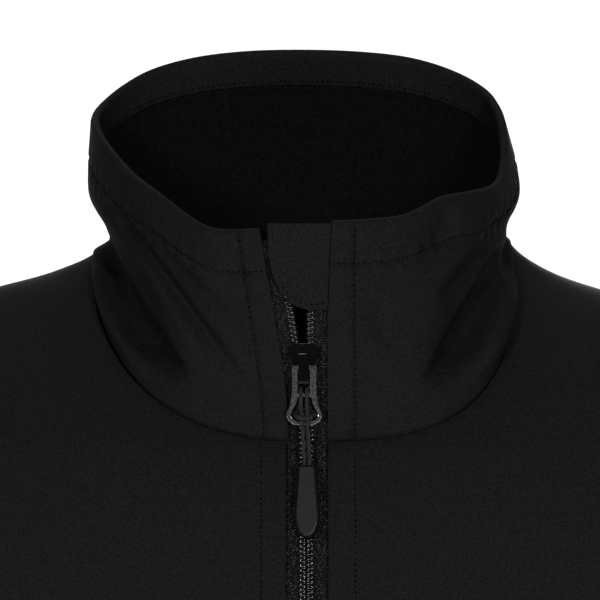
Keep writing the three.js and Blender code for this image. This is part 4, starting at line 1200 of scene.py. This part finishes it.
halfway = fold_line(CREASES[0])[FOLD_SAMPLES // 2]
print("the first crease is", round(crease_depth(*halfway), 1), "mm deep halfway")

# %% [markdown]
# ## The collar's sheet
# Two rows of sewing pull the collar in: one 15.5 mm below the rim and one beside each front edge.
# Each leaves a narrow groove, and the cloth puckers a little on both sides of it. Rows of the
# grid lie closer together there. Below the neck seam the collar goes on for 3 mm behind the
# panels, as the allowance of a real seam does, so no light comes through.

# %% Rows of sewing in the cloth
RIM_STITCH = 15.5
EDGE_STITCH = {RIGHT: 8.8, LEFT: 9.6}
GROOVE_DEPTH = 0.55
GROOVE_WIDTH = 0.75
SEAM_PULL = 1.1
Pucker = namedtuple("Pucker", "depth wave reach sway sway_over least uneven uneven_over")
PUCKER = Pucker(0.32, 7.5, 5, 3, 30, 0.6, 0.8, 22)
RIM_SEED, EDGE_SEED, UNEVEN_SEED = 1, 5, 9


def collar_height(turn):
    return (rim_at(turn) - foot_at(turn)).length


def groove(away):
    return GROOVE_DEPTH * math.exp(-((away / GROOVE_WIDTH) ** 2))


def pucker(away, along, seed):
    """Small waves along a row of sewing that die away from it"""
    near = math.exp(-((away / PUCKER.reach) ** 2))
    sway = PUCKER.sway * noise.noise(Vector((along / PUCKER.sway_over, seed, 0)))
    wave = math.sin(2 * math.pi * along / PUCKER.wave + sway)
    uneven = PUCKER.uneven * noise.noise(Vector((along / PUCKER.uneven_over, seed + UNEVEN_SEED, 0)))
    return PUCKER.depth * near * wave * (PUCKER.least + uneven)


def sewn_in(turn, rise):
    """How far the sewing draws the collar in at a place"""
    height = collar_height(turn)
    from_rim = (1 - rise) * height
    from_edge = min(turn, 1 - turn) * NECK_LENGTH
    rim_away = from_rim - RIM_STITCH
    edge_away = from_edge - EDGE_STITCH[RIGHT if turn < 0.5 else LEFT]
    total = groove(rim_away) + groove(edge_away) + SEAM_PULL * groove(rise * height)
    total += pucker(rim_away, turn * NECK_LENGTH, RIM_SEED)
    return total + pucker(edge_away, from_rim, EDGE_SEED)


print("collar height behind", round(collar_height(0.5), 1), "mm")

# %% [markdown]
# ## Over the rim and down inside
# The outside carries the folds, the creases, the sewing and a slow drift. The rest of the sheet is
# measured from it: the roll over the rim is half a circle, and the band lies two radii further in.

# %% Form of the collar's sheet
Allowance = namedtuple("Allowance", "width under")
ALLOWANCE = Allowance(3, 2.2)
TOP_BAND = 22
ROLL_RADIUS = 1.7
TURNED_IN = 13.5
JUST_ABOVE_SEAM = 0.05
JUST_BELOW_RIM = 0.97
CREASES_END_Y = (-16, 12)
CREASES_BEGIN = (0.02, 0.2)
CREASES_STOP = (0.85, 0.97)
COLLAR_DRIFT = 1.2
COLLAR_DRIFT_FINER = 1.6


def collar_outside(turn, rise):
    point, normal = collar_spot(turn, rise)
    creased = 0
    if point.y < CREASES_END_Y[1]:
        creased = crease_depth(point.x, point.z) * (1 - smoothstep(point.y, *CREASES_END_Y))
        creased *= smoothstep(rise, *CREASES_BEGIN) * (1 - smoothstep(rise, *CREASES_STOP))
    drifted = drift(point * COLLAR_DRIFT_FINER, COLLAR_DRIFT)
    return point - normal * (sewn_in(turn, rise) + creased + drifted), normal


def collar_form(across, up):
    """up is 0 at the neck seam, 1 at the top band, 2 at the rim and 3 at the turned-in lip"""
    height = collar_height(across)
    if up < 0:
        point, normal = collar_outside(across, 0)
        down = (point - collar_point(across, JUST_ABOVE_SEAM)).normalized()
        return point + (down * ALLOWANCE.width - normal * ALLOWANCE.under) * -up
    if up <= 1:
        return collar_outside(across, up * (1 - TOP_BAND / height))[0]
    if up <= 2:
        return collar_outside(across, 1 - (2 - up) * TOP_BAND / height)[0]
    if up <= 2.5:
        outer, normal = collar_outside(across, 1 - ROLL_RADIUS / height)
        inner = outer - normal * 2 * ROLL_RADIUS
        upwards = (collar_point(across, 1) - collar_point(across, JUST_BELOW_RIM)).normalized()
        angle = (up - 2) * 2 * math.pi
        over = upwards * ROLL_RADIUS * math.sin(angle)
        return outer.lerp(inner, (1 - math.cos(angle)) / 2) + over
    down = lerp(ROLL_RADIUS, TURNED_IN, (up - 2.5) * 2)
    outer, normal = collar_outside(across, 1 - down / height)
    return outer - normal * 2 * ROLL_RADIUS


print("the lip lies at", tuple(round(c, 1) for c in collar_form(0.5, 3)))

# %% [markdown]
# ## Where the grid is fine
# A groove of three quarters of a millimetre would be missed by an even grid, and finer cells
# everywhere would be slow. So the rows crowd at the neck seam and at the rim's sewing, and seven
# columns lie close together at each front edge's sewing.

# %% Rows and columns of the collar
ALLOWANCE_ROWS = [-1, -0.4]
LOWER_ROWS = 60
FOOT_CLOSER = 1.25
BAND_DISTANCES = [22, 20.5, 19, 18, 17, 16.2, 15.5, 14.8, 14, 13, 11.5, 10, 8, 6, 4, 2.8, 1.7]
ROLL_STEPS = 5
TURNED_ROWS = 7
COLLAR_COLUMNS = 440
GROOVE_COLUMNS = [-1.6, -0.8, -0.4, 0, 0.4, 0.8, 1.6]
LEAST_COLUMN = 0.7

band_rows = [2 - distance / TOP_BAND for distance in BAND_DISTANCES[1:]]
roll_rows = [2 + 0.5 * step / ROLL_STEPS for step in range(1, ROLL_STEPS + 1)]
turned_rows = [2.5 + 0.5 * step / TURNED_ROWS for step in range(1, TURNED_ROWS + 1)]
lower_rows = [share**FOOT_CLOSER for share in evenly(LOWER_ROWS)]
COLLAR_UPS = ALLOWANCE_ROWS + lower_rows + band_rows + roll_rows + turned_rows
groove_turns = [(EDGE_STITCH[RIGHT] + aside) / NECK_LENGTH for aside in GROOVE_COLUMNS]
groove_turns += [1 - (EDGE_STITCH[LEFT] + aside) / NECK_LENGTH for aside in GROOVE_COLUMNS]


def clear_of_grooves(turn):
    return all(abs(turn - other) * NECK_LENGTH > LEAST_COLUMN for other in groove_turns)


COLLAR_TURNS = sorted([turn for turn in evenly(COLLAR_COLUMNS) if clear_of_grooves(turn)] + groove_turns)
print("collar rows", len(COLLAR_UPS), "and columns", len(COLLAR_TURNS))

# %% Cut the collar
TURNED_START = 9.5


def is_cloth(turn, up):
    """The band turned over the rim ends short of the zip"""
    return up < 2.5 or min(turn, 1 - turn) * NECK_LENGTH > TURNED_START


def out_of_neck(point):
    return Vector((point.x, point.y - NECK_OVAL_Y * MM, 0))


collar_bm = cloth_grid(collar_form, COLLAR_TURNS, COLLAR_UPS, kept=is_cloth)
COLLAR = cloth_piece("collar_cloth", collar_bm, out_of_neck)
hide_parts("collar", "collar_turn_in")
print("collar", len(COLLAR.data.polygons), "faces")

# %% [markdown]
# ## Zip tapes
# Each tape lies 2 mm behind the cloth's face, from 8 mm under its edge to the middle of the zip.
# Below the slider the two meet. Above it each follows its own cloth edge, so the zip opens in a
# narrow V. One list of stations down the zip serves the tape, the coil and its sewing.

# %% Stations along the zip
STATION_STEP = 2
ZIP_LOW = -690
CLOSED_UNTIL = -47
OPEN_FROM = -35
COLLAR_STATIONS = 44
TAPE_TOP = 0.94
Station = namedtuple("Station", "edge inner normal")


def chest_station(side, z):
    def spot(x):
        return torso_spot(z, turn_at(x, z, side, FRONT), side, FRONT)

    edge, normal = spot(side * FRONT_EDGE[side])
    inner = spot(side * SEAM_GAP / 2)[0]
    inner.x = side * SEAM_GAP / 2
    return Station(edge, inner, normal)


def collar_station(side, rise):
    edge, normal = collar_spot(0 if side == RIGHT else 1, rise)
    normal = Vector((0, normal.y, normal.z)).normalized()
    inner = edge - Vector((side * (FRONT_EDGE[side] - SEAM_GAP / 2), 0, 0))
    closed = Vector((side * SEAM_GAP / 2, inner.y, inner.z))
    opened = smoothstep(inner.z, CLOSED_UNTIL, OPEN_FROM)
    inner.x = side * max(side * inner.x, SEAM_GAP / 2)
    return Station(edge, closed.lerp(inner, opened), normal)


def zip_stations(side):
    levels = np.arange(ZIP_LOW, FRONT_EDGE_ROWS[-1] - STATION_STEP / 2, STATION_STEP)
    chest = [chest_station(side, float(z)) for z in levels]
    collar = [collar_station(side, TAPE_TOP * share) for share in evenly(COLLAR_STATIONS)]
    return chest + collar


STATIONS = {side: zip_stations(side) for side in (RIGHT, LEFT)}
print("stations", len(STATIONS[RIGHT]))

# %% [markdown]
# ## A tape from the stations
# A tape is a narrow sheet with a row for each station. Three of its columns lie under the cloth
# and seven between the cloth's edge and the middle. Its UV map is its plain place from the front,
# in metres, so both tapes carry one even herringbone. Its woven edges stay square.

# %% Weave the tapes
TAPE_FRONT = 2
TAPE_THICK = 0.7
UNDER_CLOTH = [-8, -4, -1.5]
SHOWN_PARTS = 6


def tape_form(side):
    stations = STATIONS[side]

    def form(across, up):
        station = stations[round(up * (len(stations) - 1))]
        outwards = Vector((side, 0, 0))
        if across <= 0:
            point = station.edge + outwards * -across
        else:
            point = station.edge.lerp(station.inner, across)
        return point - station.normal * TAPE_FRONT

    return form


def make_tape(side, name):
    acrosses = UNDER_CLOTH + evenly(SHOWN_PARTS)
    bm = cloth_grid(tape_form(side), acrosses, evenly(len(STATIONS[side]) - 1))
    uv = bm.loops.layers.uv["cut"]
    for bm_face in bm.faces:
        for loop in bm_face.loops:
            loop[uv].uv = (loop.vert.co.x, loop.vert.co.z)
    made = cloth_piece(f"{name}_weave", bm, lambda point: Vector((0, -1, 0)), TAPE_THICK)
    made.data.materials.clear()
    made.data.materials.append(tape_finish.material)
    made.modifiers.remove(made.modifiers["rounded edges"])
    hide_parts(name)
    return made


TAPES = {RIGHT: make_tape(RIGHT, "zip_tape_right"), LEFT: make_tape(LEFT, "zip_tape_left")}
print("tapes", [len(tape.data.polygons) for tape in TAPES.values()])

# %% [markdown]
# ## Small shapes, repeated
# A zip and its sewing are one small shape repeated hundreds of times. The shape is made once, with
# few faces, and arrays put a copy of its points at each place. That is as quick as a modifier and
# lets the copies follow any line.

# %% Copies of a small shape
def copies(shape, places):
    """Points, in millimetres, and faces of the shape at each of the places"""
    shape.verts.index_update()
    base = np.array([[*vert.co, 1] for vert in shape.verts])
    faces = [[vert.index for vert in bm_face.verts] for bm_face in shape.faces]
    points = np.concatenate([base @ np.array(place).T for place in places])[:, :3]
    starts = range(0, len(points), len(base))
    return points, [[start + i for i in corners] for start in starts for corners in faces]


def repeated_piece(name, points, faces, material):
    """One object of the garment from points in millimetres"""
    mesh = bpy.data.meshes.new(name)
    mesh.from_pydata((points * MM).tolist(), [], faces)
    made = finish_object(name, mesh, [material])
    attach(made, "garment")
    return made


# %% [markdown]
# ## Coil
# The teeth of this zip are one nylon wire on each side, wound into a flat spring and sewn down.
# Spinning a small ring while it climbs makes one turn of the spring. Its copies are stacked, bent
# along the stations and welded. One side is the mirror image of the other, half a turn higher, so
# the loops reach between each other where the zip is closed and show as chevrons.

# %% One turn of the coil
COIL_PITCH = 1.75
COIL_HALF_WIDE = 1.4
COIL_HALF_DEEP = 0.46
WIRE_RADIUS = 0.36
WIRE_SIDES = 6
COIL_STEPS = 12


def coil_turn():
    """One flattened turn of wire about Z: x across, y deep, z up"""
    bm = bmesh.new()
    ring = Matrix.Translation((COIL_HALF_WIDE, 0, 0)) @ Matrix.Rotation(math.pi / 2, 4, "X")
    made = bmesh.ops.create_circle(bm, segments=WIRE_SIDES, radius=WIRE_RADIUS, matrix=ring)
    edges = list({edge for vert in made["verts"] for edge in vert.link_edges})
    climb = (0, 0, COIL_PITCH / COIL_STEPS)
    bmesh.ops.spin(
        bm,
        geom=made["verts"] + edges,
        axis=(0, 0, 1),
        cent=(0, 0, 0),
        dvec=climb,
        angle=2 * math.pi,
        steps=COIL_STEPS,
    )
    for vert in bm.verts:
        outwards = Vector((vert.co.x, vert.co.y, 0)).normalized()
        wire = vert.co - outwards * COIL_HALF_WIDE
        vert.co = Vector((outwards.x * COIL_HALF_WIDE, outwards.y * COIL_HALF_DEEP, 0)) + wire
    return bm


print("faces of one turn", WIRE_SIDES * COIL_STEPS)

# %% Bend the coils along the zip
CHAIN_LOW = -663
COIL_CENTRE = 1.32
COIL_DEPTH = 1.6
COIL_TOP_GAP = 6


def column_by_column(at, lengths, values):
    return np.column_stack([np.interp(at, lengths, values[:, axis]) for axis in range(3)])


def make_coil(side, name):
    inner = np.array([list(station.inner) for station in STATIONS[side]])
    normals = np.array([list(station.normal) for station in STATIONS[side]])
    lengths = np.concatenate([[0], np.cumsum(np.linalg.norm(np.diff(inner, axis=0), axis=1))])
    low = float(np.interp(CHAIN_LOW, inner[:, 2], lengths))
    low += COIL_PITCH / 2 if side == LEFT else 0
    turns = int((lengths[-1] - COIL_TOP_GAP - low) / COIL_PITCH)
    stack = [Matrix.Translation((0, 0, low + turn * COIL_PITCH)) for turn in range(turns)]
    points, faces = copies(coil_turn(), stack)
    out = column_by_column(points[:, 2], lengths, normals)
    bent = column_by_column(points[:, 2], lengths, inner)
    bent += out * (-points[:, 1:2] - COIL_DEPTH)
    bent[:, 0] += side * (COIL_CENTRE + points[:, 0])
    made = repeated_piece(name, bent, faces, nylon)
    bm = bmesh.new()
    bm.from_mesh(made.data)
    bmesh.ops.remove_doubles(bm, verts=bm.verts, dist=WELD)
    ends = [edge for edge in bm.edges if edge.is_boundary]
    bmesh.ops.holes_fill(bm, edges=ends, sides=WIRE_SIDES)
    bmesh.ops.recalc_face_normals(bm, faces=bm.faces)
    bm.to_mesh(made.data)
    bm.free()
    return made


coils = [make_coil(RIGHT, "coil_right"), make_coil(LEFT, "coil_left")]
print("coil faces", [len(coil.data.polygons) for coil in coils])

# %% [markdown]
# ## Zip garage
# A small flap of the same cloth covers the top of the zip, so that the slider can't touch the
# chin. It is sewn on with the wearer's left front and its free end is round. It lies on a surface
# spread between the collar's two front edges, so it stays in front of the gap at every height.

# %% Cut the garage
Flap = namedtuple("Flap", "z edge")
GARAGE = [
    Flap(-21.1, 0.6), Flap(-19.6, -3.7), Flap(-17.4, -6.6), Flap(-14.4, -9),
    Flap(-11, -11), Flap(-5.9, -12.7), Flap(1.5, -13.5), Flap(9.6, -14),
]
GARAGE_WALL = 1
GARAGE_OUT = 0.5
GARAGE_ROWS = 28
GARAGE_COLUMNS = 20


def rise_at(z):
    foot = foot_at(1).z
    return min((z - foot) / (rim_at(1).z - foot), 1)


def gap_spot(rise, x):
    """A spot on the surface spread between the collar's two front edges"""
    right, right_normal = collar_spot(0, rise)
    left, left_normal = collar_spot(1, rise)
    share = (left.x - x) / (left.x - right.x)
    normal = left_normal.lerp(right_normal, share)
    return left.lerp(right, share), Vector((0, normal.y, normal.z)).normalized()


def garage_spot(across, up):
    """across is 0 at the free edge and 1 at the sewn edge; up is 0 at the bottom"""
    z = lerp(GARAGE[0].z, GARAGE[-1].z, up)
    edge = between(GARAGE, "z", "edge", z)
    rise = rise_at(z)
    seam = collar_point(1, rise).x - SEAM_GAP
    point, normal = gap_spot(rise, lerp(edge, seam, across))
    point.z = z
    return point, normal


def garage_form(across, up):
    point, normal = garage_spot(across, up)
    return point + normal * GARAGE_OUT


garage_ups = [share**2 for share in evenly(GARAGE_ROWS)]
GARAGE_PIECE = cloth_piece(
    "zip_garage_cloth",
    cloth_grid(garage_form, evenly(GARAGE_COLUMNS), garage_ups),
    lambda point: Vector((0, -1, 0)),
    GARAGE_WALL,
    inner=False,
)
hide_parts("zip_garage")
print("garage", len(GARAGE_PIECE.data.polygons), "faces")

# %% [markdown]
# ## Sewing
# A lockstitch shows as short lengths of thread that dip into the cloth at both ends. Each is a
# copy of one small bent capsule, turned to the row and to the cloth's face.

# %% One stitch, repeated
Stitch = namedtuple("Stitch", "length width height")
STITCH = Stitch(1.6, 0.45, 0.4)
STITCH_SEGMENTS = 8
STITCH_RINGS = 6
STITCH_DIP = 0.3


def stitch_shape():
    """A flattened capsule along X whose ends bend down"""
    bm = bmesh.new()
    bmesh.ops.create_uvsphere(bm, u_segments=STITCH_SEGMENTS, v_segments=STITCH_RINGS, radius=0.5)
    bmesh.ops.scale(bm, verts=bm.verts, vec=STITCH)
    for vert in bm.verts:
        vert.co.z -= STITCH_DIP * (vert.co.x / STITCH.length * 2) ** 2
    return bm


stitch = stitch_shape()
print("faces of one stitch", len(stitch.faces))

# %% Places for the stitches
STITCH_PITCH = 2.0
STITCH_LIFT = 0.1
TURN_OVER = 0.4


def stitch_places(line):
    """Frames along a line of points and normals, one for each stitch"""
    points = np.array([list(point) for point, _ in line])
    normals = np.array([list(normal) for _, normal in line])
    steps = np.linalg.norm(np.diff(points, axis=0), axis=1)
    lengths = np.concatenate([[0], np.cumsum(steps)])
    places = []
    for at in np.arange(STITCH_PITCH / 2, lengths[-1] - STITCH_PITCH / 2, STITCH_PITCH):
        centre = along_line(at, lengths, points)
        ahead, behind = (along_line(at + aside, lengths, points) for aside in (TURN_OVER, -TURN_OVER))
        along = (ahead - behind).normalized()
        normal = along_line(at, lengths, normals).normalized()
        across = normal.cross(along).normalized()
        normal = along.cross(across).normalized()
        turned = Matrix((along, across, normal)).transposed().to_4x4()
        places.append(Matrix.Translation(centre + normal * STITCH_LIFT) @ turned)
    return places


print("stitches in 100 mm", int(100 / STITCH_PITCH))

# %% [markdown]
# ## Rows on the collar and beside the zip
# Each row is a line of points and normals from the form that it is sewn on, so the thread lies in
# its groove. The row below the rim goes through both layers and shows again inside, just above
# the lip of the turned-in band.

# %% Sew the collar
ROW_POINTS = 400
EDGE_POINTS = 60
RIM_ROW_TURNS = (0.002, 0.998)
LIP_ROW_TURNS = (0.03, 0.97)
EDGE_ROW_RISES = (0.01, 0.985)
ABOVE_LIP = 1.6
SEWN_FROM = -688
LEVEL_STEP = 4


def rim_row():
    turns = [lerp(*RIM_ROW_TURNS, share) for share in evenly(ROW_POINTS)]
    return [collar_outside(turn, 1 - RIM_STITCH / collar_height(turn)) for turn in turns]


def collar_edge_row(side):
    aside = EDGE_STITCH[side] / NECK_LENGTH
    turn = aside if side == RIGHT else 1 - aside
    return [collar_outside(turn, lerp(*EDGE_ROW_RISES, share)) for share in evenly(EDGE_POINTS)]


def lip_row():
    """The same row of sewing as it shows inside, just above the band's lip"""
    line = []
    for turn in [lerp(*LIP_ROW_TURNS, share) for share in evenly(ROW_POINTS)]:
        outer, normal = collar_outside(turn, 1 - (TURNED_IN - ABOVE_LIP) / collar_height(turn))
        line.append((outer - normal * 2 * ROLL_RADIUS, -normal))
    return line


def chest_edge_row(side):
    levels = np.arange(SEWN_FROM, FRONT_EDGE_ROWS[-1] - 1, LEVEL_STEP)
    x = side * (FRONT_EDGE[side] + EDGE_STITCH[side])
    return [torso_spot(z, turn_at(x, z, side, FRONT), side, FRONT) for z in map(float, levels)]


collar_places = stitch_places(rim_row()) + stitch_places(lip_row())
for side in (RIGHT, LEFT):
    collar_places += stitch_places(collar_edge_row(side))
collar_sewing = repeated_piece("collar_sewing", *copies(stitch, collar_places), thread)
body_places = []
for side in (RIGHT, LEFT):
    body_places += stitch_places(chest_edge_row(side))
print("stitches on the collar", len(collar_places), "and beside the zip", len(body_places))

# %% [markdown]
# ## Hem and cuffs
# On the jacket the hem and the cuffs are turned up and held by one row of sewing, 20 mm above their
# edge; here only that row of sewing is made. They are outside the photograph, so they get only what such
# edges must have.

# %% Sew the hem and the cuffs
HEM_TURN = 20
CUFF_POINTS = 80


def hem_half(side, facing):
    """The row from the front edge, or the middle of the back, to the side"""
    z = BODY_ROWS[0] + HEM_TURN
    start = turn_at(FRONT_EDGE[side], z, side, FRONT) if facing == FRONT else 0
    turns = [lerp(start, 1, share) for share in evenly(EDGE_POINTS)]
    return [torso_spot(z, turn, side, facing) for turn in turns]


def hem_row():
    right = hem_half(RIGHT, FRONT) + hem_half(RIGHT, BACK)[::-1]
    return right + hem_half(LEFT, BACK) + hem_half(LEFT, FRONT)[::-1]


def cuff_row(side):
    centre, _, wide, deep = arm_section(SLEEVE_LENGTH - HEM_TURN, side)
    line = []
    for share in evenly(CUFF_POINTS):
        angle = 2 * math.pi * share
        point = centre + wide * math.cos(angle) + deep * math.sin(angle)
        inwards = (centre - point).normalized()
        dent = sleeve_fold(SLEEVE_LENGTH - HEM_TURN, angle) + abs(drift(point))
        line.append((point + inwards * dent, -inwards))
    return line


body_places += stitch_places(hem_row())
for side in (RIGHT, LEFT):
    body_places += stitch_places(cuff_row(side))
print("stitches on the body so far", len(body_places))

# %% [markdown]
# ## The garage's row
# Here the row follows a curved edge at an even distance. The edge's own curve is walked, and each
# point moves in square to it by the width of the seam. The row ends where the flap is sewn into
# the front.

# %% Sew the garage
GARAGE_STITCH = 2.5
GARAGE_SEWN = 7
GARAGE_LEVELS = 60
GARAGE_BOTTOM_STEPS = 10


def garage_row():
    """The free edge's own curve, moved in by the width of the seam"""
    levels = np.linspace(GARAGE[-1].z, GARAGE[0].z, GARAGE_LEVELS)
    edge = [np.array((between(GARAGE, "z", "edge", float(z)), float(z))) for z in levels]
    bottom = evenly(GARAGE_BOTTOM_STEPS)[1:]
    edge += [edge[-1] + np.array((share * GARAGE_SEWN, 0)) for share in bottom]
    line = []
    for before, place, after in zip(edge, edge[1:], edge[2:]):
        along = (after - before) / np.hypot(*(after - before))
        x, z = place + GARAGE_STITCH * np.array((-along[1], along[0]))
        if x < GARAGE_SEWN:
            point, normal = gap_spot(rise_at(z), x)
            line.append((point + normal * GARAGE_OUT, normal))
    return line


body_places += stitch_places(garage_row())
body_sewing = repeated_piece("body_sewing", *copies(stitch, body_places), thread)
stitch.free()
print("stitches in all", len(collar_places) + len(body_places))

# %% [markdown]
# ## Hard pieces of the zip
# The slider, puller, grip, box and pins are cast or moulded, and their shapes are already in the
# solids. They keep their meshes. A weld joins the loose triangles, and a small bevel rounds the
# edges, because it is the rounded edge of a real piece that catches the light.

# %% Finish the hard pieces
HARD_SEGMENTS = 3
HARD_SHARP_FROM = math.radians(35)
Hard = namedtuple("Hard", "finish edge")
HARD_PIECES = {
    "slider": Hard(enamel, 0.12),
    "puller": Hard(plating, 0.35),
    "pull_tab": Hard(rubber, 0.5),
    "zip_box": Hard(plastic, 0.15),
    "zip_pin_right": Hard(plastic, 0.12),
    "zip_pin_left": Hard(plastic, 0.12),
}
for name, (finish, edge) in HARD_PIECES.items():
    node = frame["nodes"][name]
    node.data.materials.clear()
    node.data.materials.append(finish)
    weld = node.modifiers.new("weld", "WELD")
    weld.merge_threshold = WELD
    bevel = node.modifiers.new("soft edges", "BEVEL")
    bevel.width = edge * MM
    bevel.segments = HARD_SEGMENTS
    bevel.limit_method = "ANGLE"
    bevel.angle_limit = HARD_SHARP_FROM
print("hard pieces", sorted(HARD_PIECES))

# %% [markdown]
# ## Floor, light and background
# The jacket is photographed on white. The surroundings are white only behind it, as seen from the
# front, and grey elsewhere, so that the black cloth and the glossy zip keep their modelling. How
# far a direction points backwards, from 0 to 1, says how bright it is. Two soft lamps stand in
# front on both sides, a larger one hangs above and another lights the back. A pale round floor
# lies below the hem.

# %% Lay the floor
FLOOR_BELOW = 0.03
FLOOR_RADIUS = 3
FLOOR_SEGMENTS = 96
FLOOR_COLOUR = (0.85, 0.85, 0.85, 1)
floor_bm = bmesh.new()
bmesh.ops.create_circle(floor_bm, segments=FLOOR_SEGMENTS, radius=FLOOR_RADIUS, cap_ends=True)
floor_mesh = bpy.data.meshes.new("floor")
floor_bm.to_mesh(floor_mesh)
floor_bm.free()
floor_finish = Finish("pale floor", roughness=0.9, specular=0.1)
floor_finish.shader.inputs["Base Color"].default_value = FLOOR_COLOUR
floor_mesh.transform(Matrix.Translation((0, 0, CAD_BOX[0][2] - FLOOR_BELOW)))
floor = finish_object("floor", floor_mesh, [floor_finish.material], smooth=False)
print("floor at", round(CAD_BOX[0][2] - FLOOR_BELOW, 3), "m")

# %% Surroundings
SURROUNDINGS = {"front": 0.15, "behind": 1.15}
BRIGHTENS = (0.45, 0.96)
world = bpy.data.worlds.new("white surroundings")
world.use_nodes = True
world_nodes, world_links = world.node_tree.nodes, world.node_tree.links
direction = world_nodes.new("ShaderNodeTexCoord")
parts = world_nodes.new("ShaderNodeSeparateXYZ")
growth = world_nodes.new("ShaderNodeMapRange")
growth.interpolation_type = "SMOOTHSTEP"
growth.inputs["From Min"].default_value = BRIGHTENS[0]
growth.inputs["From Max"].default_value = BRIGHTENS[1]
growth.inputs["To Min"].default_value = SURROUNDINGS["front"]
growth.inputs["To Max"].default_value = SURROUNDINGS["behind"]
world_links.new(direction.outputs["Generated"], parts.inputs["Vector"])
world_links.new(parts.outputs["Y"], growth.inputs["Value"])
world_links.new(growth.outputs["Result"], world_nodes["Background"].inputs["Strength"])
world_nodes["Background"].inputs["Color"].default_value = (1, 1, 1, 1)
bpy.context.scene.world = world
bpy.context.scene.view_settings.view_transform = "Standard"
print("surroundings", SURROUNDINGS)

# %% Lamps
Lamp = namedtuple("Lamp", "name place size power")
LAMPS = [
    Lamp("front right", (-0.9, -2.3, 0.4), 0.45, 47),
    Lamp("front left", (0.9, -2.3, 0.4), 0.45, 47),
    Lamp("above", (0, 0.9, 2.4), 1.6, 25),
    Lamp("behind", (0.3, 2.6, 0.4), 1.2, 30),
]
for lamp in LAMPS:
    light = bpy.data.lights.new(lamp.name, "AREA")
    light.size = lamp.size
    light.energy = lamp.power
    made = bpy.data.objects.new(lamp.name, light)
    made.location = lamp.place
    made.rotation_euler = (-made.location).to_track_quat("-Z", "Y").to_euler()
    bpy.context.scene.collection.objects.link(made)
print("lamps", len(LAMPS))

Cut = namedtuple("Cut", "piece flat area held")
